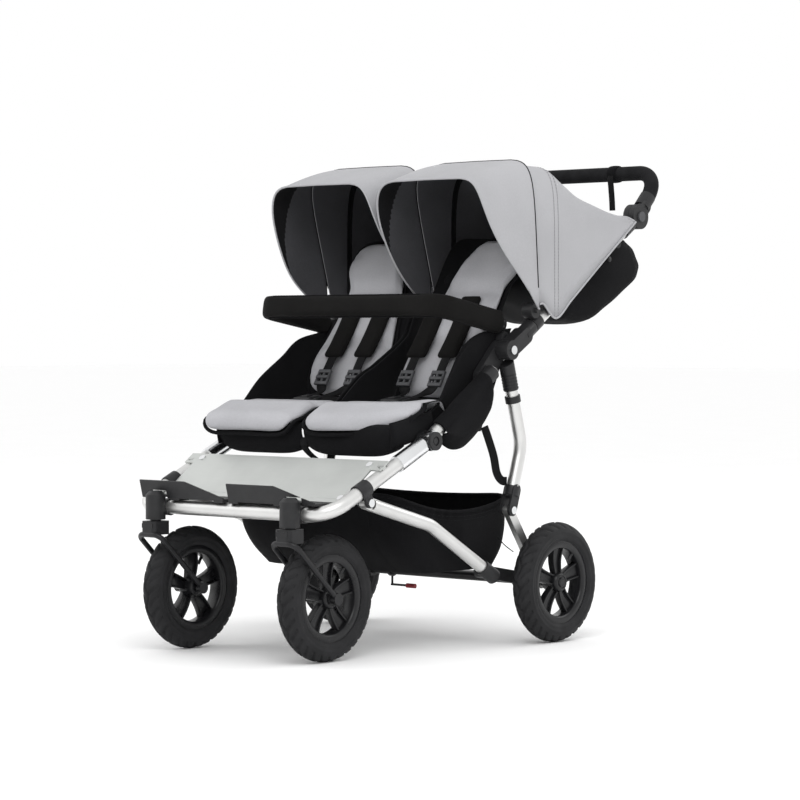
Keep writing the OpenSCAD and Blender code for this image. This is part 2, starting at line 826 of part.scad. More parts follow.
function arch_point(s, j, inset) =
  let (a = arch_angle(j), c = cos(a), h = pow(sin(a), 2 / arch_power))
  let (mid = (s[2] + s[3]) / 2, half = (s[3] - s[2]) / 2 - inset)
  let (crown = s[0] + unit(s[1] - s[0]) * inset)
  at(mid + half * power(c, 2 / arch_power), swing(mix(s[1], crown, h), s[4] * 4 * h * (1 - h)));

module hood(stations) {
  n = arch_n + 1;
  m = len(stations);
  k = n * m;
  points = concat(
    [for (s = stations, j = [0 : arch_n]) arch_point(s, j, 0)],
    [for (s = stations, j = [0 : arch_n]) arch_point(s, j, hood_t)]
  );
  outer = [for (i = [0 : m - 2], j = [0 : arch_n - 1]) let (a = i * n + j) each [
    [a, a + n, a + 1], [a + 1, a + n, a + n + 1]
  ]];
  inner = [for (f = outer) [f[0] + k, f[2] + k, f[1] + k]];
  lip = [for (j = [0 : arch_n - 1]) each [[j, j + 1, j + k], [j + 1, j + 1 + k, j + k]]];
  last = (m - 1) * n;
  tail = [for (j = [0 : arch_n - 1]) each [
    [last + j, last + j + k, last + j + 1], [last + j + 1, last + j + k, last + j + 1 + k]
  ]];
  hem = [for (i = [0 : m - 2]) let (a = i * n, b = i * n + arch_n) each [
    [a, a + k, a + n], [a + n, a + k, a + n + k], [b, b + n, b + k], [b + n, b + n + k, b + k]
  ]];
  polyhedron(points, concat(outer, inner, lip, tail, hem));
}

module canopy_rears() {
  color("lightgray") place() both() hood(rear_stations);
}

module canopy_front_left() {
  color("lightgray") place() hood(front_stations);
}

module canopy_front_right() {
  color("lightgray") place() mirror([1, 0, 0]) hood(front_stations);
}

// Handle hubs: the half on the uprights, with the hinge pins
hub_in = 256;
hub_split = 269.6;
hub_out = 284;
pin_end = 273;
module handle_hubs() {
  neck = along(hub, upright_slope, -handle_hub_r - hub_clear, 0);
  low = along(neck, upright_slope, -socket_len, 0);
  color("dimgray") place() both() {
    difference() {
      union() {
        plate(hub_in, hub_split) disc(hub, handle_hub_r);
        plate(hub_in, hub_split) capsule(hub, along(neck, upright_slope, -sleeve_t, 0), upright_r);
        rod(at(upright_x, low), at(upright_x, neck), upright_r + sleeve_t);
      }
      rod(at(upright_x, upright_low), at(upright_x, upright_high), upright_r + fit);
    }
    rod(at(hub_split - over, hub), at(pin_end, hub), hub_pin_r);
  }
}

// Handle: inner tube, foam grip and the turning half of the hubs
knee_back = 50;
knee_rise = 51;
handle_knee = hub + [knee_back, knee_rise];
handle_corner = hub + [handle_reach, handle_rise];
handle_bend_r = 44;
joint_len = 34;
joint_start = handle_hub_r + hub_clear;
function handle_path(start) = [
  at(upright_x, start), at(upright_x, handle_knee), at(upright_x, handle_corner),
  at(-upright_x, handle_corner), at(-upright_x, handle_knee), at(-upright_x, start)
];
handle_aim = atan2(handle_knee[1] - hub[1], handle_knee[0] - hub[0]);
handle_start = along(hub, handle_aim, joint_start + sleeve_t, 0);
foam_start = along(hub, handle_aim, joint_start + joint_len + gap, 0);
module handle_bar() {
  color("dimgray") place() tube(handle_path(handle_start), handle_d / 2, tube_wall, handle_bend_r);
}

// The foam has a shallow groove where the wrist strap sits
module handle_grip() {
  color("black") place() difference() {
    tube(handle_path(foam_start), grip_r, foam_t - fit, handle_bend_r);
    ring(
      at(strap_x - groove, handle_corner), at(strap_x + strap_w + groove, handle_corner),
      grip_r + over, grip_r - groove / 2
    );
  }
}

module handle_joints() {
  near = along(hub, handle_aim, joint_start, 0);
  far = along(near, handle_aim, joint_len, 0);
  color("dimgray") place() both() difference() {
    union() {
      plate(hub_split + gap, hub_out) disc(hub, handle_hub_r);
      plate(hub_split + gap, hub_out) capsule(hub, along(near, handle_aim, sleeve_t, 0), upright_r);
      rod(at(upright_x, near), at(upright_x, far), grip_r + over);
    }
    rod(at(upright_x, handle_start), at(upright_x, handle_knee), handle_d / 2 + fit);
    bore(hub_split, pin_end, hub, hub_pin_r + fit);
    bore(pin_end, hub_out, hub, button_r + fit);
  }
}

module handle_button() {
  x0 = pin_end + over + button_travel + gap;
  color("gray") place() plate(x0, hub_out + button_proud) disc(hub, button_r);
}

module handle_button_left() {
  handle_button();
}

module handle_button_right() {
  mirror([1, 0, 0]) handle_button();
}

// Wrist strap looped over the handle bar
strap_x = 150;
strap_w = 20;
strap_hang = 72;
module wrist_strap() {
  p = handle_corner;
  low = p - [0, strap_hang];
  color("black") place() plate(strap_x, strap_x + strap_w) difference() {
    union() {
      disc(p, strap_r);
      translate(low - [strap_t, 0]) square([2 * strap_t, strap_hang - strap_r + strap_t]);
    }
    disc(p, strap_r - strap_t);
  }
}

// Backrests with their pads, rear pouches and shoulder straps
back_t = 10;
back_in = 13;
recline_r = 4;
rod_in = 5;
rod_out = 238;
pouch_low_share = 0.4;
pouch_top_share = 0.54;
pouch_reach_shares = [0.4, 0.886, 1.01, 1.038, 0.975, 0.79, 0.46];
pouch_lift_shares = [-0.083, -0.08, -0.118, -0.244, -0.312, -0.278, -0.206];
module backrest() {
  x = back_in + back_half_w;
  color("black") place() {
    translate(at(x, crease)) rotate([back_slope, 0, 0]) {
      translate([0, back_len / 2 - recline_r, -back_t / 2]) linear_extrude(back_t) {
        round_rect(2 * back_half_w, back_len, back_half_w / 2);
      }
    }
    rod(at(rod_in, crease), at(rod_out, crease), recline_r);
    plate(back_in + shell_t, back_in + 2 * back_half_w - shell_t) pouch_profile();
  }
}

// Storage pouch behind the backrest, which follows the slope of the upright
module pouch_profile() {
  low = along(crease, back_slope, back_len * pouch_low_share, 0);
  top = along(crease, back_slope, back_len * pouch_top_share, 0);
  polygon(concat([low, top], [for (i = [0 : len(pouch_reach_shares) - 1]) along(
    hinge, upright_slope, upright_len * pouch_reach_shares[i], upright_len * pouch_lift_shares[i]
  )]));
}

module backrest_left() {
  backrest();
}

module backrest_right() {
  mirror([1, 0, 0]) backrest();
}

back_pad_w = 190;
back_pad_len = 390;
pad_rise = 26;
module back_pad() {
  foot = along(crease, back_slope, back_pad_len / 2 + pad_rise, back_t / 2 + gap);
  color("lightgray") place() translate(at(back_in + back_half_w, foot)) rotate([back_slope, 0, 0]) {
    cushion(back_pad_w, back_pad_len, back_pad_t * crown_rise_share);
  }
}

module back_pad_left() {
  back_pad();
}

module back_pad_right() {
  mirror([1, 0, 0]) back_pad();
}

harness_w = 40;
harness_t = 9;
harness_len = 250;
harness_apart = 84;
harness_share = 0.22;
harness_sink = 2.6;
module shoulder_straps() {
  lift = back_t / 2 + back_pad_t - harness_sink;
  foot = along(crease, back_slope, back_len * harness_share, lift);
  color("black") place() for (s = [-1, 1]) {
    translate(at(back_in + back_half_w + s * harness_apart / 2, foot)) rotate([back_slope, 0, 0]) {
      translate([-harness_w / 2, 0, 0]) cube([harness_w, harness_len, harness_t]);
    }
  }
}

module shoulder_straps_left() {
  shoulder_straps();
}

module shoulder_straps_right() {
  mirror([1, 0, 0]) shoulder_straps();
}

// Lower rails from the chassis lugs to the rear axle brackets
bend_share = 0.345;
bend_lift = 12;
end_share = 0.72;
end_drop = -30;
lower_slope = atan2(axle[1] - lug[1], axle[0] - lug[0]);
lower_len = norm(axle - lug);
lower_bend = along(lug, lower_slope, lower_len * bend_share, bend_lift);
lower_end = along(lug, lower_slope, lower_len * end_share, end_drop);
lower_bend_r = 90;
module lower_rails() {
  start = lug + unit(lower_bend - lug) * (eye_r + sleeve_t);
  color("silver") place() both() difference() {
    union() {
      tube(
        [at(rail_x, start), at(rail_x, lower_bend), at(rail_x, lower_end)],
        leg_r, tube_wall, lower_bend_r
      );
      plate(rail_x - eye_t / 2, rail_x + eye_t / 2) {
        capsule(lug, start + unit(lower_bend - lug) * eye_r, eye_r - over);
      }
    }
    bore(rail_x - eye_t / 2, rail_x + eye_t / 2, lug, chassis_pin_r + fit);
  }
}

// Flattened lower legs from the rear axle to the elbow
module lower_legs() {
  x0 = rail_x - eye_t / 2 + gap;
  x1 = rail_x + eye_t / 2 - gap;
  color("silver") place() both() difference() {
    plate(x0, x1) {
      capsule(axle, elbow, eye_r - sleeve_t);
      disc(axle, axle_r + 2 * sleeve_t);
    }
    bore(x0, x1, axle, axle_r + fit);
    bore(x0, x1, elbow, chassis_pin_r + fit);
  }
}

// Hinge pins at the lugs and elbows, with their heads
module chassis_pins() {
  far = eye_t / 2 + cheek_t + gap;
  color("gainsboro") place() both() for (p = [lug, elbow]) {
    rod(at(rail_x - far, p), at(rail_x + far, p), chassis_pin_r);
    plate(rail_x + far, rail_x + far + cheek_t / 2) disc(p, 2 * chassis_pin_r);
    plate(rail_x - far - cheek_t / 2, rail_x - far) disc(p, 2 * chassis_pin_r);
  }
}

// Rear axle with stub ends for the wheels
axle_gap = 2;
axle_half = track_x - tyre_w / 2 - axle_gap;
stub_end = track_x + hub_len / 2;
module rear_axle() {
  color("dimgray") place() {
    rod(at(-axle_half, axle), at(axle_half, axle), axle_r);
    rod(at(-stub_end, axle), at(stub_end, axle), pin_r);
  }
}

// Brackets that join lower rails to the axle
bracket_x0 = 236;
module axle_brackets() {
  x1 = rail_x - eye_t / 2 - gap;
  back = unit(lower_end - lower_bend) * socket_len;
  color("dimgray") place() both() difference() {
    union() {
      rod(at(rail_x, lower_end - back), at(rail_x, lower_end + back / 3), leg_r + sleeve_t);
      plate(bracket_x0, x1) capsule(lower_end - back / 3, axle, eye_r);
      plate(bracket_x0, x1) disc(axle, axle_r + 2 * sleeve_t);
    }
    rod(at(rail_x, lower_bend), at(rail_x, lower_end), leg_r + fit);
    bore(bracket_x0, x1, axle, axle_r + fit);
  }
}

// Fabric basket between the lower rails, open at the top, with hanging tabs
basket_back = 96;
basket_tab = 30;
basket_front = 424;
front_rise_share = 1.5;
low_mid_share = 0.3;
low_front_share = 0.55;
tab_shares = [0.25, 0.75];
module basket() {
  top_back = [-basket_back, elbow[1] + basket_tab];
  top_front = [-basket_front, elbow[1] + front_rise_share * basket_tab];
  low_back = top_back - [basket_tab, basket_depth];
  low_mid = [mix(top_front[0], top_back[0], low_mid_share), low_back[1]];
  low_front = top_front + [basket_tab / 2, -basket_depth * low_front_share];
  color("black") place() {
    difference() {
      plate(-basket_x, basket_x) polygon([top_front, low_front, low_mid, low_back, top_back]);
      plate(-basket_x + basket_t, basket_x - basket_t) polygon([
        top_front + [basket_t, basket_t], low_front + [basket_t, 0], low_mid + [0, basket_t],
        low_back + [-basket_t, basket_t], top_back + [-basket_t, basket_t]
      ]);
    }
    both() for (s = tab_shares) {
      p = mix(lower_bend, lower_end, s);
      translate(at(basket_x - gap, p) - [0, basket_tab / 2, 0]) {
        cube([rail_x - leg_r - basket_x, basket_tab, basket_t]);
      }
    }
  }
}

// Brake bar behind the rear axle, with two eyes and a pedal
brake_x = 205;
brake_back = 34;
brake_bar_r = 6;
brake_eye_w = 12;
pedal = [70, 40, 8];
module brake_pedal() {
  bar = axle + [brake_back, 0];
  reach = bracket_x0 - 2 * sleeve_t;
  color("dimgray") place() {
    rod(at(-reach, bar), at(reach, bar), brake_bar_r);
    both() difference() {
      plate(brake_x - brake_eye_w / 2, brake_x + brake_eye_w / 2) {
        disc(axle, axle_r + 2 * sleeve_t);
        capsule(axle, bar, brake_bar_r);
      }
      bore(brake_x - brake_eye_w / 2, brake_x + brake_eye_w / 2, axle, axle_r + fit);
    }
    translate(at(-pedal[0] / 2, bar) - [0, 0, pedal[2] / 2]) cube(pedal);
  }
}

// Wire clip on the rear axle that holds the folded frame, with a coloured tip
clip_x = -150;
clip_w = 8;
clip_wire_r = 2.5;
clip_drop = 32;
clip_reach = 58;
clip_tip_len = 24;
clip_tip_r = 5;
module storage_clip() {
  low = axle - [0, clip_drop];
  color("dimgray") place() {
    difference() {
      plate(clip_x, clip_x + clip_w) disc(axle, axle_r + sleeve_t + over);
      bore(clip_x, clip_x + clip_w, axle, axle_r + fit);
    }
    rod(at(clip_x + clip_w / 2, axle - [0, axle_r + sleeve_t]), at(clip_x + clip_w / 2, low), clip_wire_r);
    rod(at(clip_x + clip_w / 2 - clip_wire_r, low), at(clip_x + clip_reach, low), clip_wire_r);
  }
}

module clip_tip() {
  low = axle - [0, clip_drop];
  end = clip_x + clip_reach;
  color("crimson") place() difference() {
    rod(at(end - clip_tip_len / 2, low), at(end + clip_tip_len / 2, low), clip_tip_r);
    rod(at(clip_x, low), at(end, low), clip_wire_r + fit);
  }
}

// Rear legs from the elbow up to the fold hinge
leg_low_gap = 30;
leg_top_gap = 42;
leg_top = hinge + unit(leg_bend - hinge) * leg_top_gap;
leg_aim = unit(leg_bend - hinge);
leg_bend_r = 80;
module rear_legs() {
  start = elbow + unit(leg_bend - elbow) * leg_low_gap;
  color("silver") place() both() {
    tube([at(rail_x, start), at(rail_x, leg_bend), at(rail_x, leg_top)],
      leg_r, tube_wall, leg_bend_r);
  }
}

// Black pieces on the rear legs: elbow clip, collar and slanted top cap
clip_len = 20;
slot_share = 0.7;
module leg_clips() {
  up = unit(leg_bend - elbow);
  start = elbow + up * leg_low_gap;
  stop = hinge + leg_aim * (latch_top - gap);
  collar = hinge + leg_aim * (latch_top + latch_len + latch_travel + gap);
  color("dimgray") place() both() {
    difference() {
      union() {
        rod(at(rail_x, start), at(rail_x, start + up * clip_len), leg_r + sleeve_t);
        plate(rail_x - eye_t / 2 - cheek_t, rail_x + eye_t / 2 + cheek_t) {
          capsule(elbow, start + up * eye_r, eye_r - over);
        }
      }
      plate(rail_x - eye_t / 2, rail_x + eye_t / 2) {
        capsule(elbow - up * eye_r, elbow + up * leg_low_gap * slot_share, eye_r);
      }
      rod(at(rail_x, start), at(rail_x, leg_bend), leg_r + fit);
      bore(rail_x - rail_r, rail_x + rail_r, elbow, chassis_pin_r + fit);
    }
    ring(at(rail_x, collar), at(rail_x, collar + leg_aim * collar_len), leg_r + sleeve_t, leg_r + fit);
    difference() {
      rod(at(rail_x, hinge), at(rail_x, stop), leg_r + sleeve_t);
      rod(at(rail_x, leg_top), at(rail_x, leg_bend), leg_r + fit);
      plate(rail_x - rail_d, rail_x + rail_d) cap_cut();
    }
  }
}

module cap_cut() {
  translate(along(hinge, upright_slope, 0, -cap_top)) rotate(upright_slope) translate([-rail_d * 2, 0]) {
    square([rail_d * 4, rail_d * 2]);
  }
}

// Ribbed sliding latches at the top of the rear legs
ribs = 5;
rib_h = 1;
module fold_latch() {
  top = hinge + leg_aim * latch_top;
  pitch = latch_len / ribs;
  color("dimgray") place() {
    ring(at(rail_x, top), at(rail_x, top + leg_aim * latch_len), leg_r + sleeve_t - rib_h, leg_r + fit);
    for (i = [0 : ribs - 1]) {
      low = top + leg_aim * (i * pitch + pitch / 4);
      high = low + leg_aim * pitch / 2;
      ring(at(rail_x, low), at(rail_x, high), leg_r + sleeve_t, leg_r + sleeve_t - 2 * rib_h);
    }
  }
}

module fold_latch_left() {
  fold_latch();
}

module fold_latch_right() {
  mirror([1, 0, 0]) fold_latch();
}

// Front forks: stem, crown with a lever, two bent legs and the wheel axle
stem_len = 40;
crown_h = 27;
crown_w = 40;
crown_d = 46;
lever = [30, 10, 9];
wheel_gap = 3;
module caster_fork() {
  hub_point = [-wheelbase, wheel_r];
  front = [stem_y - fork_front, fork_z];
  crown_z = housing_z0 - wheel_gap - crown_h;
  color("dimgray") place() translate([caster_x, 0, 0]) {
    translate([0, stem_y, crown_z]) cylinder(r = stem_r, h = crown_h + wheel_gap + stem_len - over);
    translate([0, stem_y, crown_z + crown_h]) cylinder(r = stem_r + sleeve_t, h = wheel_gap - gap);
    translate([0, stem_y, crown_z]) linear_extrude(crown_h) round_rect(crown_w, crown_d, housing_round);
    translate([-lever[0] / 2, stem_y - crown_d / 2 - lever[1] + housing_round, crown_z + crown_h / 2]) {
      cube(lever);
    }
    sweep(
      [at(-fork_x, hub_point), at(-fork_x, front), at(fork_x, front), at(fork_x, hub_point)], fork_bend_r
    ) {
      circle(fork_wire_r);
    }
    both() rod(at(fork_x - fork_wire_r, hub_point), at(fork_x + fork_wire_r, hub_point), 2 * pin_r);
    rod(at(-fork_x, hub_point), at(fork_x, hub_point), pin_r);
  }
}

module caster_fork_left() {
  caster_fork();
}

module caster_fork_right() {
  mirror([1, 0, 0]) caster_fork();
}

// Wheels, drawn about their own axle
module wheel_at(x, y) {
  place() translate([x, y, wheel_r]) rotate([0, 90, 0]) children();
}

module tyre() {
  color("black") rotate_extrude($fn = 96) difference() {
    translate([wheel_r - tyre_w / 2, 0]) circle(tyre_w / 2);
    translate([0, -tyre_w]) square([rim_r + fit, 2 * tyre_w]);
  }
}

module rim() {
  inner = rim_r - rim_depth;
  color("dimgray") difference() {
    union() {
      difference() {
        cylinder(r = rim_r, h = rim_w, center = true, $fn = 96);
        cylinder(r = inner, h = rim_w + 2 * over, center = true, $fn = 96);
      }
      cylinder(r = hub_d / 2, h = hub_len, center = true);
      for (i = [0 : spokes - 1]) {
        rotate(360 * i / spokes) translate([hub_d / 4, -spoke_w / 2, -rim_w / 4]) {
          cube([inner + rim_depth / 2 - hub_d / 4, spoke_w, rim_w / 2]);
        }
      }
    }
    cylinder(r = pin_r + fit, h = hub_len + 2 * over, center = true);
  }
}

module front_tyre_left() {
  wheel_at(caster_x, -wheelbase) tyre();
}

module front_tyre_right() {
  wheel_at(-caster_x, -wheelbase) tyre();
}

module front_rim_left() {
  wheel_at(caster_x, -wheelbase) rim();
}

module front_rim_right() {
  wheel_at(-caster_x, -wheelbase) rim();
}

module rear_tyre_left() {
  wheel_at(track_x, 0) tyre();
}

module rear_tyre_right() {
  wheel_at(-track_x, 0) tyre();
}

module rear_rim_left() {
  wheel_at(track_x, 0) rim();
}

module rear_rim_right() {
  wheel_at(-track_x, 0) rim();
}

front_frame();
rail_knuckles();
rail_sleeves();
rail_caps();
seat_rails();
hinge_brackets();
fold_pins();
chassis_lugs();
footplate();
footplate_rivets();
footrests();
swivel_housings();
seat_shells();
seat_pads();
lap_belts();
bumper_core();
bumper_sleeve();
uprights();
upright_brackets();
canopy_clamps();
rear_cross_tube();
canopy_rears();
handle_hubs();
handle_bar();
handle_grip();
handle_joints();
wrist_strap();
handle_button_left();
handle_button_right();
canopy_front_left();
canopy_front_right();
backrest_left();
backrest_right();
back_pad_left();
back_pad_right();
shoulder_straps_left();
shoulder_straps_right();
lower_rails();
lower_legs();
chassis_pins();
rear_axle();
axle_brackets();
basket();
brake_pedal();
storage_clip();
clip_tip();
rear_legs();
leg_clips();
fold_latch_left();
fold_latch_right();
caster_fork_left();
caster_fork_right();
front_tyre_left();
front_tyre_right();
front_rim_left();
front_rim_right();
rear_tyre_left();
rear_tyre_right();
rear_rim_left();
rear_rim_right();
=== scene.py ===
"""Looks of a side by side double stroller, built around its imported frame. All lengths are in metres."""

import json
import math

import bmesh
import bpy
from mathutils import Matrix, Vector


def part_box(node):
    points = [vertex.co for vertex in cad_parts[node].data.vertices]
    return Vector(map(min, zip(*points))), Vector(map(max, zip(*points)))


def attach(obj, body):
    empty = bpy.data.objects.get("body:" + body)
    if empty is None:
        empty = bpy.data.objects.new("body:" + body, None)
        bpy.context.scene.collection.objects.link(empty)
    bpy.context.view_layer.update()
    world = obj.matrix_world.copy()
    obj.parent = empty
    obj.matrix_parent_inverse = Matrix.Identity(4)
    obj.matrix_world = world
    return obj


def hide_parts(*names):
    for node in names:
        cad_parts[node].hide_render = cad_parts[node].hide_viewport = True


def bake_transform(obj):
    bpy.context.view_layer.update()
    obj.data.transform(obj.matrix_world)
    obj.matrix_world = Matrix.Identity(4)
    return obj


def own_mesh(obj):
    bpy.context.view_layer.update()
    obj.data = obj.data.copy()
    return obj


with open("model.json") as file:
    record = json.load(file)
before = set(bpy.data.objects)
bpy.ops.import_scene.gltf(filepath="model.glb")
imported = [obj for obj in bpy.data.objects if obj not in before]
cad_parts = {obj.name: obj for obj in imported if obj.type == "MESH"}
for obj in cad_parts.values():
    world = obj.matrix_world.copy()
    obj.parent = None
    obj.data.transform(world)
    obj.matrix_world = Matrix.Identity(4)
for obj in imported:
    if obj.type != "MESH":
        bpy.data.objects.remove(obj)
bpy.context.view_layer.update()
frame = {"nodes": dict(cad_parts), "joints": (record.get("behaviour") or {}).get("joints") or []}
scene = bpy.context.scene
nodes = frame["nodes"]
pivot = {j["name"]: Vector(j["pos_m"]) for j in frame["joints"] if "pos_m" in j}
SIDES = (("left", 1), ("right", -1))
ACROSS = Vector((1, 0, 0))

# Points and slopes of the frame, in its side plane
HINGE = pivot["fold"]
HUB = pivot["handle_tilt"]
CREASE = pivot["recline_left"]
HOOD = pivot["canopy_left_slide"]
AXLE = sum(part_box("rear_axle"), Vector()) / 2
KNUCKLE = sum(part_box("rail_caps"), Vector()) / 2
UPRIGHT_SLOPE = math.radians(33.2)
SEAT_SLOPE = math.radians(34)
BACK_SLOPE = math.radians(60)
RAIL_X = 0.262


def along(p, slope, reach, lift=0.0):
    """A point of the side plane, some way along a slope and square to it."""
    c, s = math.cos(slope), math.sin(slope)
    return Vector((p[0], p[1] + reach * c - lift * s, p[2] + reach * s + lift * c))


def at(x, p):
    """The side plane's point p, moved across to x."""
    return Vector((x, p[1], p[2]))


def mix(a, b, share):
    return a + (b - a) * share


def ease(t):
    t = min(1.0, max(0.0, t))
    return t * t * (3 - 2 * t)


def ramp(value, start, length):
    """Eases from zero to one over a length that begins at start."""
    return ease((value - start) / length)


def hump(t, centre, half):
    """A smooth bump of height one."""
    return math.exp(-(((t - centre) / half) ** 2))


def power(value, exponent):
    return math.copysign(abs(value) ** exponent, value)


# Mesh building


def mesh_piece(name, points, faces, uvs=None):
    mesh = bpy.data.meshes.new(name)
    mesh.from_pydata([tuple(p) for p in points], [], faces)
    if uvs:
        layer = mesh.uv_layers.new(name="metres")
        for loop in mesh.loops:
            layer.data[loop.index].uv = uvs[loop.vertex_index]
    mesh.validate()
    mesh.shade_smooth()
    return new_piece(name, mesh)


def new_piece(name, mesh):
    piece = bpy.data.objects.new(name, mesh)
    scene.collection.objects.link(piece)
    return piece


def from_work(name, work):
    """A piece from a bmesh, which is freed."""
    mesh = bpy.data.meshes.new(name)
    work.to_mesh(mesh)
    work.free()
    return new_piece(name, mesh)


def loft(name, rows, ring=False, caps=False, wheel=False):
    """A skin over rows of points. ring closes each row, wheel joins the last row to the first."""
    n, m = len(rows[0]), len(rows)
    points = [p for row in rows for p in row]
    faces = []
    for i in range(m if wheel else m - 1):
        k = (i + 1) % m
        for j in range(n if ring else n - 1):
            h = (j + 1) % n
            faces.append((i * n + j, i * n + h, k * n + h, k * n + j))
    if caps:
        faces.append(tuple(reversed(range(n))))
        faces.append(tuple(range((m - 1) * n, m * n)))
    piece = mesh_piece(name, points, faces, row_uvs(rows))
    outward(piece)
    return piece


def row_uvs(rows):
    """Lengths along and across the rows, so that a weave keeps its real size."""
    uvs, v = [], 0.0
    for i, row in enumerate(rows):
        if i:
            mid = len(row) // 2
            v += (Vector(row[mid]) - Vector(rows[i - 1][mid])).length
        u = 0.0
        for j, p in enumerate(row):
            if j:
                u += (Vector(p) - Vector(row[j - 1])).length
            uvs.append((u, v))
    return uvs


def outward(piece):
    work = bmesh.new()
    work.from_mesh(piece.data)
    bmesh.ops.recalc_face_normals(work, faces=work.faces)
    work.to_mesh(piece.data)
    work.free()


def modify(piece, kind, **values):
    """Adds a modifier with these settings and applies it."""
    modifier = piece.modifiers.new(kind.lower(), kind)
    for key, value in values.items():
        setattr(modifier, key, value)
    bake(piece)
    return piece


def bake(piece):
    """Turns what the modifiers make into the piece's own mesh."""
    graph = bpy.context.evaluated_depsgraph_get()
    shown = piece.evaluated_get(graph)
    made = bpy.data.meshes.new_from_object(shown, preserve_all_data_layers=True, depsgraph=graph)
    piece.modifiers.clear()
    old = piece.data
    piece.data = made
    bpy.data.meshes.remove(old)


def thicken(piece, thickness, offset, inner=0):
    """Gives a skin its thickness. inner is the place of its inside material after the outside one."""
    return modify(piece, "SOLIDIFY", thickness=thickness, offset=offset, material_offset=inner)


def join(name, pieces):
    """One piece from several."""
    work = bmesh.new()
    for part in pieces:
        work.from_mesh(part.data)
        bpy.data.objects.remove(part)
    piece = from_work(name, work)
    piece.data.shade_smooth()
    return piece


def curve_points(points, steps):
    """A smooth curve through points, with this many steps from each to the next."""
    made = []
    last = len(points) - 1
    for i in range(last):
        p0, p1, p2, p3 = (Vector(points[min(last, max(0, i + k))]) for k in (-1, 0, 1, 2))
        square, cube = 2 * p0 - 5 * p1 + 4 * p2 - p3, 3 * p1 - p0 - 3 * p2 + p3
        for s in range(steps):
            t = s / steps
            made.append(p1 + ((p2 - p0) * t + square * t ** 2 + cube * t ** 3) / 2)
    made.append(Vector(points[last]))
    return made


def frames_along(path, up, closed=False):
    """At each point of a path: the point, a side direction and a normal near up."""
    path = [Vector(p) for p in path]
    count = len(path)
    made = []
    for i, p in enumerate(path):
        before, after = (i - 1, (i + 1) % count) if closed else (max(i - 1, 0), min(i + 1, count - 1))
        ahead = (path[after] - path[before]).normalized()
        side = ahead.cross(up).normalized()
        made.append((p, side, side.cross(ahead).normalized()))
    return made


def circle(count):
    """Angles evenly round a circle."""
    return [2 * math.pi * k / count for k in range(count)]


def pipe(name, path, radius, sides, closed=False, up=Vector((0.1, 0.3, 1))):
    """A round cord along a path."""
    rows = [[p + radius * (math.cos(a) * side + math.sin(a) * normal) for a in circle(sides)]
            for p, side, normal in frames_along(path, up, closed)]
    return loft(name, rows, ring=True, caps=not closed, wheel=closed)


def strap(name, path, width, thickness, up):
    """Flat webbing along a path, with its flat side towards up."""
    rows = []
    for p, side, normal in frames_along(path, up):
        half, rise = side * width / 2, normal * thickness / 2
        round_in = side * thickness / 2
        rows.append([p - half, p - half + round_in + rise, p + half - round_in + rise, p + half,
                     p + half - round_in - rise, p - half + round_in - rise])
    return loft(name, rows, ring=True, caps=True)


def stitches(name, path, pitch, length, radius):
    """A row of thread stitches along a path."""
    parts, left = [], 0.0
    path = [Vector(p) for p in path]
    for a, b in zip(path, path[1:]):
        ahead = (b - a).normalized()
        reach = (b - a).length
        while left < reach:
            p = a + ahead * left
            parts.append(pipe(name, [p, p + ahead * length * 0.5, p + ahead * length], radius, 4))
            left += pitch
        left -= reach
    return join(name, parts)


def rounded_box(name, size, centre, turn, bevel, segments=2):
    """A box with rounded edges."""
    work = bmesh.new()
    bmesh.ops.create_cube(work, size=1.0)
    bmesh.ops.scale(work, vec=size, verts=work.verts)
    bmesh.ops.bevel(work, geom=work.edges[:], offset=bevel, segments=segments, profile=0.7, affect="EDGES")
    bmesh.ops.transform(work, matrix=Matrix.Translation(centre) @ turn, verts=work.verts)
    return from_work(name, work)


def revolve(name, profile, centre, segments, shape=None):
    """A profile of (across, radius) turned about a wheel's axle."""
    rows = []
    for a in circle(segments):
        row = []
        for x, r in profile:
            r -= shape(a, x, r) if shape else 0.0
            row.append(centre + Vector((x, r * math.cos(a), r * math.sin(a))))
        rows.append(row)
    return loft(name, rows, wheel=True)


# Materials: each has its own grain, made of noise and waves at their real size


def new_material(name, colour, roughness, metallic=0.0, **extra):
    made = bpy.data.materials.new(name)
    made.use_nodes = True
    shader = made.node_tree.nodes["Principled BSDF"]
    shader.inputs["Base Color"].default_value = (*colour, 1)
    shader.inputs["Roughness"].default_value = roughness
    shader.inputs["Metallic"].default_value = metallic
    for key, value in extra.items():
        shader.inputs[key.replace("_", " ")].default_value = value
    return made, made.node_tree, shader


def add(tree, kind, links=(), **values):
    made = tree.nodes.new(kind)
    for key, value in values.items():
        if key in made.inputs:
            made.inputs[key].default_value = value
        else:
            setattr(made, key, value)
    for key, source in links:
        tree.links.new(source, made.inputs[key])
    return made


def noise(tree, scale, detail, stretch=(1, 1, 1)):
    """Noise with this many cells per metre."""
    place = add(tree, "ShaderNodeTexCoord")
    spread = add(tree, "ShaderNodeMapping", [("Vector", place.outputs["Object"])], Scale=stretch)
    made = add(tree, "ShaderNodeTexNoise", [("Vector", spread.outputs[0])], Scale=scale, Detail=detail)
    return made.outputs["Fac"]


def blend_colours(tree, factor, low, high, shader, limits=(0.35, 0.65)):
    ramp = add(tree, "ShaderNodeValToRGB", [("Fac", factor)])
    for stop, place, colour in zip(ramp.color_ramp.elements, limits, (low, high)):
        stop.position = place
        stop.color = (*colour, 1)
    tree.links.new(ramp.outputs["Color"], shader.inputs["Base Color"])


def vary_roughness(tree, factor, low, high, shader):
    span = add(tree, "ShaderNodeMapRange", [("Value", factor)])
    span.inputs["To Min"].default_value = low
    span.inputs["To Max"].default_value = high
    tree.links.new(span.outputs[0], shader.inputs["Roughness"])


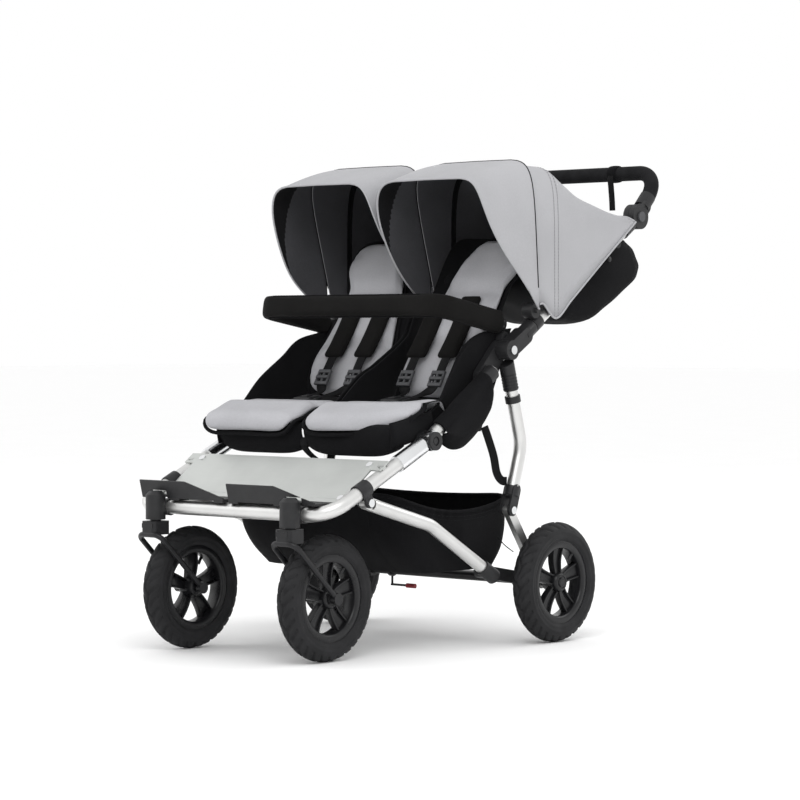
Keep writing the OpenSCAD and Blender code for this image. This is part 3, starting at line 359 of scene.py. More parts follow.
def bump(tree, height, shader, depth, strength=1.0, under=None):
    made = add(tree, "ShaderNodeBump", [("Height", height)], Distance=depth, Strength=strength)
    if under:
        tree.links.new(under.outputs[0], made.inputs["Normal"])
    tree.links.new(made.outputs[0], shader.inputs["Normal"])
    return made


def tint(colour, share):
    return tuple(c * share for c in colour)


def metal(name, colour, roughness, grain, spread=0.08):
    """Bare metal with fine drawn grain and faint smudges."""
    made, tree, shader = new_material(name, colour, roughness, metallic=1.0)
    lines = noise(tree, 900, 4, grain)
    blend_colours(tree, noise(tree, 14, 4), tint(colour, 0.93), colour, shader)
    vary_roughness(tree, lines, roughness - spread / 2, roughness + spread, shader)
    bump(tree, lines, shader, 0.00004)
    return made


def moulded(name, colour, roughness, grain=1400, depth=0.00006):
    """Moulded plastic or paint with a fine pebbled skin."""
    made, tree, shader = new_material(name, colour, roughness, Specular_IOR_Level=0.3)
    blend_colours(tree, noise(tree, 60, 5), colour, tint(colour, 1.25), shader)
    vary_roughness(tree, noise(tree, 35, 4), roughness - 0.06, roughness + 0.08, shader)
    bump(tree, noise(tree, grain, 2), shader, depth)
    return made


def cloth(name, colour, pitch, sheen, space="UV", melange=0.14):
    """Woven cloth: two sets of threads with slightly uneven colour."""
    made, tree, shader = new_material(name, colour, 0.85, Sheen_Weight=sheen, Sheen_Roughness=0.5,
                                      Specular_IOR_Level=0.06)
    place = add(tree, "ShaderNodeTexCoord").outputs[space]
    wave_scale = math.pi / 10 / pitch
    threads = [add(tree, "ShaderNodeTexWave", [("Vector", place)], Scale=wave_scale, Distortion=0.6,
                   bands_direction=way) for way in ("X", "Y")]
    weave = add(tree, "ShaderNodeMath", [(0, threads[0].outputs["Fac"]), (1, threads[1].outputs["Fac"])],
                operation="MAXIMUM")
    fleck, shade = noise(tree, 420, 5), noise(tree, 9, 3)
    both = add(tree, "ShaderNodeMath", [(0, fleck), (1, shade)], operation="ADD")
    half = add(tree, "ShaderNodeMath", [(0, both.outputs[0])], operation="MULTIPLY")
    half.inputs[1].default_value = 0.5
    blend_colours(tree, half.outputs[0], tint(colour, 1 - melange), tint(colour, 1 + melange), shader)
    crease = bump(tree, noise(tree, 26, 3), shader, 0.0012, 0.5)
    bump(tree, weave.outputs[0], shader, 0.00018, under=crease)
    return made


def webbing(name, colour):
    """Belt webbing with ribs along it."""
    made, tree, shader = new_material(name, colour, 0.6, Specular_IOR_Level=0.12)
    place = add(tree, "ShaderNodeTexCoord")
    ribs = add(tree, "ShaderNodeTexWave", [("Vector", place.outputs["UV"])], Scale=150.0, Distortion=0.4,
               bands_direction="DIAGONAL")
    blend_colours(tree, ribs.outputs["Fac"], tint(colour, 0.7), tint(colour, 1.3), shader)
    bump(tree, ribs.outputs["Fac"], shader, 0.0003)
    return made


def rubber(name, colour):
    """Tyre rubber, slightly dusty."""
    made, tree, shader = new_material(name, colour, 0.7, Specular_IOR_Level=0.2)
    blend_colours(tree, noise(tree, 30, 6), colour, tint(colour, 1.5), shader, (0.4, 0.75))
    vary_roughness(tree, noise(tree, 50, 4), 0.55, 0.8, shader)
    bump(tree, noise(tree, 1600, 3), shader, 0.0001)
    return made


def foam(name, colour):
    """Closed-cell foam with small pores."""
    made, tree, shader = new_material(name, colour, 0.88, Specular_IOR_Level=0.1)
    place = add(tree, "ShaderNodeTexCoord")
    cells = add(tree, "ShaderNodeTexVoronoi", [("Vector", place.outputs["Object"])], Scale=900.0)
    blend_colours(tree, noise(tree, 40, 4), tint(colour, 0.85), tint(colour, 1.2), shader)
    bump(tree, cells.outputs["Distance"], shader, 0.00015)
    return made


MAT = {
    "anodised": metal("anodised_aluminium", (0.70, 0.70, 0.69), 0.38, (1, 0.05, 0.05)),
    "brushed_plate": metal("brushed_aluminium", (0.56, 0.575, 0.56), 0.46, (0.02, 1, 1), 0.12),
    "chrome": metal("chrome", (0.78, 0.79, 0.80), 0.16, (1, 1, 1), 0.05),
    "black_plastic": moulded("black_plastic", (0.014, 0.014, 0.015), 0.46),
    "black_steel": moulded("black_powder_coat", (0.009, 0.009, 0.010), 0.34, 700, 0.0001),
    "grey_plastic": moulded("grey_plastic", (0.055, 0.056, 0.060), 0.46),
    "red_plastic": moulded("red_plastic", (0.24, 0.012, 0.020), 0.42),
    "foam": foam("grip_foam", (0.013, 0.013, 0.014)),
    "black_fabric": cloth("black_fabric", (0.0066, 0.0066, 0.0074), 0.0011, sheen=0.02, melange=0.3),
    "lining": cloth("lining_fabric", (0.070, 0.070, 0.076), 0.0008, sheen=0.02),
    "dark_lining": cloth("dark_lining_fabric", (0.010, 0.010, 0.011), 0.0008, sheen=0.02),
    "grey_fabric": cloth("grey_fabric", (0.40, 0.40, 0.415), 0.0010, sheen=0.05, melange=0.06),
    "pad_fabric": cloth("pad_fabric", (0.42, 0.42, 0.44), 0.0012, sheen=0.05, space="Object", melange=0.08),
    "bumper_fabric": cloth("bumper_fabric", (0.0075, 0.0072, 0.0070), 0.0013, sheen=0.02, melange=0.3),
    "pad_black": cloth("pad_black_fabric", (0.0066, 0.0066, 0.0074), 0.0012, 0.02, "Object", 0.3),
    "webbing": webbing("webbing", (0.0060, 0.0060, 0.0066)),
    "thread": cloth("thread", (0.27, 0.27, 0.28), 0.0004, sheen=0.05, space="Object"),
    "dark_thread": cloth("dark_thread", (0.018, 0.018, 0.019), 0.0004, sheen=0.02, space="Object"),
    "tan": cloth("tan_backing", (0.50, 0.33, 0.24), 0.0012, sheen=0.05, space="Object"),
    "tyre": rubber("tyre_rubber", (0.014, 0.014, 0.015)),
    "rim": moulded("rim_plastic", (0.008, 0.008, 0.009), 0.28, 900, 0.00004),
}
CAD_FINISH = {
    "anodised": "front_frame seat_rails uprights lower_rails lower_legs rear_legs",
    "brushed_plate": "footplate",
    "chrome": "rail_knuckles rail_sleeves fold_pins chassis_pins footplate_rivets",
    "black_plastic": "rail_caps hinge_brackets chassis_lugs footrests swivel_housings upright_brackets "
                     "canopy_clamps handle_hubs handle_joints axle_brackets leg_clips fold_latch_left "
                     "fold_latch_right",
    "black_steel": "bumper_core rear_axle rear_cross_tube caster_fork_left caster_fork_right storage_clip "
                   "brake_pedal handle_bar",
    "grey_plastic": "handle_button_left handle_button_right",
    "red_plastic": "clip_tip",
    "foam": "handle_grip",
}
for finish, names in CAD_FINISH.items():
    for name in names.split():
        nodes[name].data.materials.clear()
        nodes[name].data.materials.append(MAT[finish])
ROUNDED = {"footrests": 0.0016, "swivel_housings": 0.0030, "hinge_brackets": 0.0022, "canopy_clamps": 0.0022,
           "handle_hubs": 0.0025, "axle_brackets": 0.0022, "leg_clips": 0.0018, "chassis_lugs": 0.0020,
           "upright_brackets": 0.0022, "rail_caps": 0.0012, "footplate": 0.0006, "brake_pedal": 0.0015}
for name, radius in ROUNDED.items():
    nodes[name].modifiers.new("weld", "WELD").merge_threshold = 0.00002
    edge = nodes[name].modifiers.new("edge", "BEVEL")
    edge.width, edge.segments, edge.limit_method, edge.angle_limit = radius, 3, "ANGLE", math.radians(40)


def dress(piece, body, *finishes, stands_for=()):
    """Gives a piece its materials and its body, and hides the imported parts that it stands for."""
    places = [face.material_index for face in piece.data.polygons]
    piece.data.materials.clear()
    for finish in finishes:
        piece.data.materials.append(MAT[finish])
    piece.data.polygons.foreach_set("material_index", places)
    if stands_for:
        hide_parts(*stands_for)
    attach(piece, body)
    return piece


# Wheels: treaded tyres on five-spoke rims
WHEEL_R = 0.124
TYRE_R = 0.0235
BEAD = math.radians(146)
BLOCKS = 32
TREAD_DEPTH = 0.0034
TREAD_HALF = 0.019
TREAD_REACH = 0.011
RIM_HALF = 0.0165
RIM_FLANGE = ((0, 0.071), (-0.0015, 0.074), (-0.002, 0.085), (-0.0005, 0.0865), (0.002, 0.086),
              (0.003, 0.081))
RIM_WELL = (0, 0.079)
RIM_INSIDE = ((0.004, 0.0695), (RIM_HALF, 0.068))
SPOKES = 5
SPOKE_FOOT = 0.016
SPOKE_LEN = 0.0545
SPOKE_PARTS = ((-1, 0.0035, 0.015), (1, 0.0035, 0.015), (0, 0.027, 0.005))
SPOKE_DISH = 0.004
RIB_FOOT, RIB_SPREAD = 0.0085, 0.0060
HUB_STEPS = ((-0.021, 0.0064), (-0.021, 0.016), (-0.019, 0.0185), (0.010, 0.021), (0.017, 0.0185),
             (0.019, 0.0165), (0.0195, 0.0135), (0.0175, 0.0125), (0.0175, 0.0102), (0.0205, 0.0096),
             (0.0212, 0.0070), (0.0208, 0.0064))
VALVE_TURN = math.radians(54)
VALVE_RADII = (0.070, 0.062, 0.054)
VALVE_R, VALVE_X = 0.0032, 0.004
VALVE_LEAN = 0.12


def tread(a, x, r):
    """How deep the tread is cut at an angle round the tyre and a place across it."""
    if r < WHEEL_R - TREAD_REACH:
        return 0.0
    t = abs(x) / TREAD_HALF
    step = a * BLOCKS / (2 * math.pi)
    lean = step + 0.9 * t + (0.5 if x > 0 else 0.0)
    slot_cut = ramp(abs((lean % 1.0) - 0.5), 0.33, 0.06) if t > 0.28 else 0.0
    wander = 0.2 * math.sin(2 * math.pi * step / 2)
    centre_cut = ease((0.13 - abs(x / TREAD_HALF - wander)) / 0.08)
    return TREAD_DEPTH * max(slot_cut, centre_cut)


def tyre_profile():
    """Section of the tyre from one bead over the tread to the other, with ridges on the walls."""
    made = []
    steps = 56
    for i in range(steps + 1):
        a = -BEAD + 2 * BEAD * i / steps
        wall = abs(math.degrees(a))
        ridge = 0.0009 * (hump(wall, 84, 3) + hump(wall, 112, 4)) - 0.0006 * hump(wall, 98, 4)
        r = TYRE_R + ridge
        made.append((r * math.sin(a), WHEEL_R - TYRE_R + r * math.cos(a)))
    return made


def rim_profile():
    """Section of the rim from the outer flange through the well to the inner flange."""
    flange = [(x - RIM_HALF, r) for x, r in RIM_FLANGE]
    inside = [(RIM_HALF - x, r) for x, r in RIM_INSIDE]
    far_flange = [(-x, r) for x, r in reversed(flange)]
    return flange + [RIM_WELL] + far_flange + inside + [(-inside[0][0], inside[0][1]), flange[0]]


def spoke(name, centre, turn, face):
    """A tapered spoke: a thin web between two ribs."""
    parts = []
    for offset, width, depth in SPOKE_PARTS:
        rows = []
        for k in range(9):
            t = k / 8
            r = SPOKE_FOOT + SPOKE_LEN * t
            spread = offset * (RIB_FOOT + RIB_SPREAD * t)
            w = width * (1 if offset else 0.65 + 0.40 * t) / 2
            x = face * SPOKE_DISH * (1 - math.sin(math.pi * t))
            corners = [(-w, -depth / 2), (w, -depth / 2), (w, depth / 2), (-w, depth / 2)]
            row = []
            for across, deep in corners:
                y = r * math.cos(turn) - (spread + across) * math.sin(turn)
                z = r * math.sin(turn) + (spread + across) * math.cos(turn)
                row.append(centre + Vector((x + deep, y, z)))
            rows.append(row)
        parts.append(loft(name, rows, ring=True, caps=True))
    return modify(join(name, parts), "BEVEL", width=0.0008, segments=2, limit_method="ANGLE")


def wheel(end, side, s):
    """A tyre, and a rim with its barrel, stepped hub, spokes and valve."""
    body = f"{end}_wheel_{side}"
    low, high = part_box(f"{end}_tyre_{side}")
    centre = (low + high) / 2
    tyre_piece = revolve(f"{end}_tyre_{side}_treaded", tyre_profile(), centre, 288, tread)
    dress(tyre_piece, body, "tyre", stands_for=[f"{end}_tyre_{side}"])
    parts = [revolve("rim", rim_profile(), centre, 96),
             revolve("hub", [(s * x, r) for x, r in HUB_STEPS], centre, 48)]
    for k in range(SPOKES):
        parts.append(spoke("spoke", centre, math.radians(90 + 360 / SPOKES * k), s))
    valve = centre + Vector((s * VALVE_X, 0, 0))
    way = Vector((s * VALVE_LEAN, math.cos(VALVE_TURN), math.sin(VALVE_TURN)))
    parts.append(pipe("valve", [valve + way * r for r in VALVE_RADII], VALVE_R, 10, up=ACROSS))
    rim_piece = join(f"{end}_rim_{side}_moulded", parts)
    modify(rim_piece, "BEVEL", width=0.0007, segments=2, limit_method="ANGLE", angle_limit=math.radians(50))
    dress(rim_piece, body, "rim", stands_for=[f"{end}_rim_{side}"])


for end in ("front", "rear"):
    for side, s in SIDES:
        wheel(end, side, s)

# Soft goods
CLOTH_FRAMES = 20
PULL_IN_SHARE = 0.03
PAD_CORNER, SEAT_CORNER, PANEL_CORNER = 5.0, 6.0, 7.0
CUSHION_SHARES = ((0.0, 0.0), (0.6, 0.0), (0.94, 0.0), (0.985, 0.05), (1.0, 0.22), (1.0, 0.5), (0.985, 0.72),
                  (0.94, 0.86), (0.8, 0.95), (0.5, 1.0), (0.0, 1.0))
GROOVE_HALF = 0.016
GROOVE_DEPTH = 0.008
HOLLOW = 0.002
NO_ROLL = (-9.0, 1.0)
PAD_FADE = 0.02


def local(origin, slope):
    """A frame with X across, Y up a slope of the side plane and Z square to it."""
    return Matrix.Translation(origin) @ Matrix.Rotation(slope, 4, "X")


def mirrored(piece, name):
    """A copy of a piece for the other side."""
    work = bmesh.new()
    work.from_mesh(piece.data)
    bmesh.ops.scale(work, vec=(-1, 1, 1), verts=work.verts)
    bmesh.ops.reverse_faces(work, faces=work.faces)
    return from_work(name, work)


def puff(piece, cap, pressure=4.0, voxel=0.005):
    """Swells a closed pad with cloth pressure. No point moves further than cap."""
    if voxel:
        modify(piece, "REMESH", mode="VOXEL", voxel_size=voxel)
        piece.data.shade_smooth()
    home = [v.co.copy() for v in piece.data.vertices]
    settings = piece.modifiers.new("cloth", "CLOTH").settings
    settings.use_pressure = True
    settings.uniform_pressure_force = pressure
    settings.effector_weights.gravity = 0
    for number in range(1, CLOTH_FRAMES + 1):
        scene.frame_set(number)
    graph = bpy.context.evaluated_depsgraph_get()
    swollen = piece.evaluated_get(graph).to_mesh()
    moved = [v.co.copy() for v in swollen.vertices]
    piece.modifiers.clear()
    for v, a, b in zip(piece.data.vertices, home, moved):
        way = b - a
        v.co = a + way * min(1.0, cap / max(way.length, 1e-9))
    scene.frame_set(1)
    return piece


def rounded_square(a, corner):
    """The point at an angle of a square with rounded corners and sides at one."""
    c, s = math.cos(a), math.sin(a)
    r = (abs(c) ** corner + abs(s) ** corner) ** (-1 / corner)
    return r * c, r * s


def pad_outline(w, l, corner, count=96):
    """Points round a pad with rounded corners and sides that pull in."""
    made = []
    for u, v in (rounded_square(a, corner) for a in circle(count)):
        across, lengthwise = (1 - PULL_IN_SHARE * (1 - b * b) * abs(a) for a, b in ((u, v), (v, u)))
        made.append(Vector((w / 2 * u * across, l / 2 * v * lengthwise, 0)))
    return made


def rolled(p, start, radius):
    """A point of a pad whose front end rolls down past start."""
    if p.y >= start:
        return p
    reach = start - p.y
    a = min(reach / radius, math.pi / 2)
    rest = reach - a * radius
    return Vector((p.x, start - (radius + p.z) * math.sin(a) - rest * math.cos(a),
                   (radius + p.z) * math.cos(a) - radius - rest * math.sin(a)))


def cushion(name, place, w, l, t, grooves, roll=NO_ROLL, corner=PAD_CORNER):
    """A crowned pad, flat below, swollen by its filling, with sewn channels across it."""
    outline = pad_outline(w, l, corner)
    piece = loft(name, [[Vector((p.x * share, p.y * share, t * height)) for p in outline]
                        for share, height in CUSHION_SHARES], ring=True)
    puff(piece, PAD_SWELL)
    modify(piece, "SUBSURF", levels=1, render_levels=1)
    for vertex in piece.data.vertices:
        p = vertex.co
        edge = ramp(w / 2 - abs(p.x), 0, PAD_FADE)
        dip = sum(hump(p.y / (l / 2), g, GROOVE_HALF / l * 2) for g in grooves) * edge
        hollow = HOLLOW * math.sin(p.x * 40 + p.y * 23) * math.sin(p.y * 31)
        p.z += (hollow - GROOVE_DEPTH * dip) * ramp(p.z, t * 0.4, t * 0.4)
        vertex.co = rolled(p, *roll)
    piece.data.transform(place)
    return piece


def pad_trim(name, place, w, l, height, radius, roll=NO_ROLL, corner=PAD_CORNER):
    """Piping sewn round the lower edge of a pad."""
    edge = [place @ rolled(Vector((p.x, p.y, height)), *roll) for p in pad_outline(w, l, corner, 160)]
    return pipe(name, edge, radius, 8, closed=True)


# Seat pads and backrest pads
SEAT_BASE = CREASE + Vector((0, 0, -0.030))
SEAT_LIP = CREASE + Vector((0, -0.237, -0.015))
LIP_SHIFT = Vector((0, -0.0105, 0.0036))
SHELL_IN, SHELL_OUT = 0.004, 0.239
SEAT_X = (SHELL_IN + SHELL_OUT) / 2
SEAT_TILT = math.atan2(SEAT_BASE.z - SEAT_LIP.z, SEAT_BASE.y - SEAT_LIP.y)
BACK_X = 0.116
seat_mid = mix(SEAT_BASE, SEAT_LIP, 0.5) + LIP_SHIFT
SEAT_PAD_END = 0.129
SEAT_PAD_T, BACK_PAD_T = 0.019, 0.018
PAD_SWELL = 0.006
SEAT_PIPING, BACK_PIPING = 0.004, 0.0028
PIPING_GAP = 0.003
PAD_RISE = 0.026
PAD_TOP = 0.499
PAD_SIZES = {"left": (0.1295, 0.248, 0.276), "right": (0.1385, 0.266, 0.284)}
BACK_PAD_W, BACK_PAD_L = 0.194, 0.400
SEAT_ROLL = (-0.103, 0.015)
SEAT_GROOVES, BACK_GROOVES = (-0.22, 0.36), (-0.34, 0.3)
RAIL_COVER, RAIL_RISE = 0.0215, 0.030
CORNER_LIFT, CORNER_BACK = 0.016, 0.074
# Where parts of the seat pads begin to change, from the rear axle or across, and over what length
PAD_BACK = {"left": (-0.320, 0.055), "right": (-0.365, 0.055)}
PAD_FRONT, PAD_UP, PAD_DOWN = (-0.440, 0.100), (-0.452, 0.075), (-0.300, 0.075)
PAD_OUTER = (0.160, 0.085)
CORNER_X, CORNER_W = 0.105, 0.150
WAIST_X, WAIST_SHARES = 0.212, {"left": 0.25, "right": 0.60}
BACK_PLACE = local(at(BACK_X, along(CREASE, BACK_SLOPE, 0.221, 0.0058)), BACK_SLOPE)


def over_rail(piece, side):
    """Draws a seat pad's outer edge up over the seat rail. The near pad's front corner also lies back."""
    for v in piece.data.vertices:
        p = v.co
        behind = p.y - AXLE.y
        back = ramp(behind, *PAD_BACK[side])
        front = 1 - ramp(behind, *PAD_FRONT)
        p.z += PAD_RISE * ramp(behind, *PAD_UP) * (1 - ramp(behind, *PAD_DOWN))
        rail = KNUCKLE.z + max(0.0, p.y - KNUCKLE.y) * math.tan(SEAT_SLOPE) + RAIL_COVER
        base = mix(SEAT_LIP, SEAT_BASE, (p.y - SEAT_LIP.y) / (SEAT_BASE.y - SEAT_LIP.y)).z
        p.z += min(RAIL_RISE, max(0.0, rail - base)) * ramp(p.x, *PAD_OUTER) * (1 - back)
        if side == "left":
            corner = max(0.0, (p.x - CORNER_X) / CORNER_W)
            p.z += CORNER_LIFT * corner ** 2 * (1 - 0.6 * back)
            p.y += CORNER_BACK * corner ** 1.3 * front
        p.x -= WAIST_SHARES[side] * max(0.0, p.x - WAIST_X) * back
        p.z -= 0.8 * max(0.0, p.z - PAD_TOP)


def both_sides(make, bodies, finish, stands_for):
    """Makes a left piece, and a right one that mirrors it."""
    left = make()
    right = mirrored(left, left.name.replace("left", "right"))
    for piece, body, node_names in zip((left, right), bodies, stands_for):
        dress(piece, body, finish, stands_for=node_names)


BACKS = ("seat_back_left", "seat_back_right")
SEATS = ("frame", "frame")
NONE = ((), ())
for side, s in SIDES:
    pad_x, w, l = PAD_SIZES[side]
    place = local(at(pad_x, along(seat_mid, SEAT_TILT, SEAT_PAD_END - l / 2)), SEAT_TILT)
    pad = cushion(f"seat_pad_{side}", place, w, l, SEAT_PAD_T, SEAT_GROOVES, SEAT_ROLL, SEAT_CORNER)
    edging = pad_trim(f"seat_piping_{side}", place, w + SEAT_PIPING / 2, l + SEAT_PIPING / 2, SEAT_PIPING,
                      SEAT_PIPING, SEAT_ROLL, SEAT_CORNER)
    for piece, finish, node_names in ((pad, "pad_fabric", ["seat_pads"]), (edging, "black_fabric", [])):
        over_rail(piece, side)
        if s < 0:
            piece.data.transform(Matrix.Scale(-1, 4, ACROSS))
            piece.data.flip_normals()
        dress(piece, "frame", finish, stands_for=node_names)


TAPER_HALF = 0.096
TAPER_LOW, TAPER_HIGH = 0.034, 0.060
WING_LOW, WING_HIGH, WING_FOOT = 0.009, 0.024, 0.024


def tapered(piece):
    """Draws a back pad outwards towards its top, and its outer edge forwards at its foot."""
    for v in piece.data.vertices:
        p = v.co
        reach = (p.y - CREASE.y) * math.cos(BACK_SLOPE) + (p.z - CREASE.z) * math.sin(BACK_SLOPE)
        share = (BACK_X + TAPER_HALF - p.x) / (2 * TAPER_HALF)
        wing = ramp(p.x, 0.160, 0.050)
        p.x += share * (TAPER_LOW * ramp(reach, 0.10, 0.20) + TAPER_HIGH * ramp(reach, 0.26, 0.20))
        p.x += wing * (WING_LOW + WING_HIGH * ramp(reach, 0.29, 0.06))
        v.co = along(p, BACK_SLOPE, 0, WING_FOOT * wing * (1 - ramp(reach, 0.10, 0.14)))
    return piece


def back_pad():
    return tapered(cushion("back_pad_left", BACK_PLACE, BACK_PAD_W, BACK_PAD_L, BACK_PAD_T, BACK_GROOVES))


def back_piping():
    w, l = BACK_PAD_W + PIPING_GAP, BACK_PAD_L + PIPING_GAP
    return tapered(pad_trim("back_piping_left", BACK_PLACE, w, l, PIPING_GAP, BACK_PIPING))


both_sides(back_pad, BACKS, "pad_fabric", (("back_pad_left",), ("back_pad_right",)))
both_sides(back_piping, BACKS, "black_fabric", NONE)

# Black seat shells: base, apron, gussets, rail wraps and outer wings
APRON_DROP = 0.060
APRON_BELLY = 0.007
SKIRT_X = 0.2375
CENTRE_WALL = (0.0062, 0.0022)
OUTER_WALL = (0.237, -0.006)


def seat_base():
    """Seat cloth from the crease over the front lip and down into a padded apron."""
    rows = []
    for i in range(41):
        u = 2 * i / 40 - 1
        x = SEAT_X + u * (SHELL_OUT - SHELL_IN) / 2
        drop = APRON_DROP * (1 - 0.30 * abs(u) ** 5)
        belly = APRON_BELLY * (1 - u ** 4)
        below = ((0, 0), (-0.006 - belly * 0.5, -0.010), (-0.005 - belly, -drop * 0.5),
                 (0.001 - belly * 0.6, -drop * 0.85), (0.008, -drop), (0.030, -drop + 0.004))
        hollow = mix(SEAT_BASE, SEAT_LIP, 0.5) + Vector((0, 0, -0.002))
        path = [SEAT_BASE, hollow, mix(SEAT_BASE, SEAT_LIP, 0.93)]
        path += [SEAT_LIP + Vector((0, *place)) for place in below]
        rows.append([at(x, p) for p in curve_points(path, 6)])
    return thicken(loft("seat_cloth_left", rows), 0.004, 0)


def spot(x, y, z):
    """A point measured from the rear axle and the ground."""
    return Vector((x, AXLE.y + y, z))


def spots(*places):
    """Points of the side plane, measured from the rear axle and the ground."""
    return [spot(0, y, z) for y, z in places]


def gusset(name, x, edge, bulge):
    """Side wall between the seat and the backrest, below an edge."""
    tops = curve_points(edge, 12)
    first, last = mix(SEAT_LIP, SEAT_BASE, 0.06), SEAT_BASE + Vector((0, 0.030, 0))
    rows = []
    for i, top in enumerate(tops):
        s = i / (len(tops) - 1)
        foot = mix(first, last, s) + Vector((0, 0, -0.002))
        row = []
        for k in range(19):
            t = k / 18
            swell = bulge * math.sin(math.pi * s) ** 0.6 * math.sin(math.pi * t)
            fold = 0.0016 * math.sin(11 * s + 7 * t) * math.sin(math.pi * t)
            row.append(at(x + swell + fold, mix(foot, top, t)))
        rows.append(row)
    return thicken(loft(name, rows), 0.005, 0)


CENTRE_EDGE = spots((-0.352, 0.478), (-0.335, 0.496), (-0.269, 0.548), (-0.215, 0.575), (-0.125, 0.632),
                    (-0.092, 0.690), (-0.050, 0.715))
OUTER_EDGES = {
    "left": spots((-0.395, 0.460), (-0.290, 0.498), (-0.232, 0.594), (-0.170, 0.636), (-0.066, 0.648)),
    "right": spots((-0.392, 0.474), (-0.360, 0.505), (-0.316, 0.546), (-0.252, 0.588), (-0.190, 0.628),
                   (-0.066, 0.648)),
}
RAIL_LEN = 0.297
RAIL_WRAP = 0.0178
WRAP_ARC = 205
WING_TUCK, TUCK_SHARE = 0.030, 0.62
WING_DEPTHS = ((0.13, 0.012), (0.24, 0.050), (0.38, 0.084), (0.54, 0.100), (0.67, 0.086), (0.72, 0.060))


def rail_wing():
    """Cloth wrapped over a seat rail, hanging down outside it and tucked in below the seat."""
    rows = []
    for i, (share, depth) in enumerate(curve_points(WING_DEPTHS, 8)):
        rail = along(KNUCKLE, SEAT_SLOPE, RAIL_LEN * share)
        row = []
        wrap = RAIL_WRAP + 0.0004 * math.sin(i * 0.4)
        for k in range(17):
            a = math.radians(WRAP_ARC - WRAP_ARC * k / 16)
            row.append(at(RAIL_X + wrap * math.cos(a), along(rail, SEAT_SLOPE, 0, wrap * math.sin(a))))
        for k in range(1, 15):
            t = k / 14
            belly = 0.006 * math.sin(math.pi * t) + 0.0012 * math.sin(2.5 * t + 0.22 * i)
            inward = WING_TUCK * max(0.0, t - TUCK_SHARE) ** 1.5 / (1 - TUCK_SHARE) ** 1.5
            row.append(at(RAIL_X + wrap + belly - inward, rail + Vector((0, 0, -depth * t))))
        rows.append(row)
    return thicken(loft("rail_wing_left", rows), 0.0026, -1)


def shell_piece(make):
    both_sides(make, SEATS, "black_fabric", (("seat_shells",), ("seat_shells",)))


def skirt():
    """Cloth closing the gap between the end of the apron and the seat rail."""
    rows = []
    corners = ((-0.012, 0.006), (0.110, 0.028), (-0.008, -0.046), (0.110, -0.020))
    top_front, top_back, foot_front, foot_back = (SEAT_LIP + Vector((0, y, z)) for y, z in corners)
    for k in range(13):
        t = k / 12
        top, foot = mix(top_front, top_back, t), mix(foot_front, foot_back, t ** 0.7)
        x = SKIRT_X + 0.003 * min(1.0, 4 * t)
        rows.append([at(x + 0.0035 * math.sin(math.pi * j / 8), mix(top, foot, j / 8)) for j in range(9)])
    return thicken(loft("apron_skirt_left", rows), 0.0024, 0)


def sink(piece):
    """Gives a side wall a mesh of its own."""
    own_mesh(piece)


shell_piece(seat_base)
shell_piece(skirt)
for side, s in SIDES:
    walls = (("centre", CENTRE_EDGE, CENTRE_WALL), ("outer", OUTER_EDGES[side], OUTER_WALL))
    for name, edge, (x, bulge) in walls:
        wall = gusset(f"{name}_gusset_{side}", s * x, edge, s * bulge)
        dress(wall, "frame", "black_fabric", stands_for=["seat_shells"])
        sink(wall)
shell_piece(rail_wing)


# Hoods: a rear part on the uprights, and a front part that slides back over it
ARCH_POWER = 8.0
ARCH_EASE = 2.5
HOOD_R = 0.326
HOOD_IN, HOOD_OUT, NEST = 0.0035, 0.297, 0.006
HOOD_BOW = math.radians(9)
HOOD_LEAN = {"left": -0.028, "right": 0.046}
LEAN_PEAK = 9.48
FRONT_SLOPES = (125, 118.75, 112.5, 106.25, 100, 94)
FRONT_SHARES = (1.0, 0.978, 0.965, 0.958, 0.956, 0.956)
CROWN_SLOPES = (104, 90, 78, 68, 58, 48, 39, 34)
CROWN_SHARES = (0.930, 0.936, 0.940, 0.91, 0.90, 0.95, 1.03, 1.12)
FOOT_REACHES = (0.1192, 0.1313, 0.1502, 0.2153, 0.2998, 0.3901, 0.4699, 0.4951)
FOOT_LIFTS = (0.0339, 0.0260, -0.0199, -0.0160, -0.0101, -0.0039, 0.0011, 0.0031)
BOW_ROW = 2
PIVOT_GAP = 0.004
HOOD_INSET = 0.0004
HOOD_SKIN = 0.0024
CHANNEL_DEPTH = 0.0030
HOOD_STITCH = (0.007, 0.0045, 0.0006)
ARCH_STEPS = 56


def hood_stations(front):
    """Crown and foot of each arch."""
    if front:
        return [(along(HOOD, math.radians(a), HOOD_R * share), along(HOOD, math.radians(a), PIVOT_GAP))
                for a, share in zip(FRONT_SLOPES, FRONT_SHARES)]
    return [(along(HOOD, math.radians(slope), HOOD_R * share), along(HINGE, UPRIGHT_SLOPE, reach, lift))
            for slope, share, reach, lift in zip(CROWN_SLOPES, CROWN_SHARES, FOOT_REACHES, FOOT_LIFTS)]


def swung(p, a):
    """A point of the side plane, turned about the hood's pivot."""
    y, z = p.y - HOOD.y, p.z - HOOD.z
    c, s = math.cos(a), math.sin(a)
    return Vector((p.x, HOOD.y + y * c - z * s, HOOD.z + y * s + z * c))


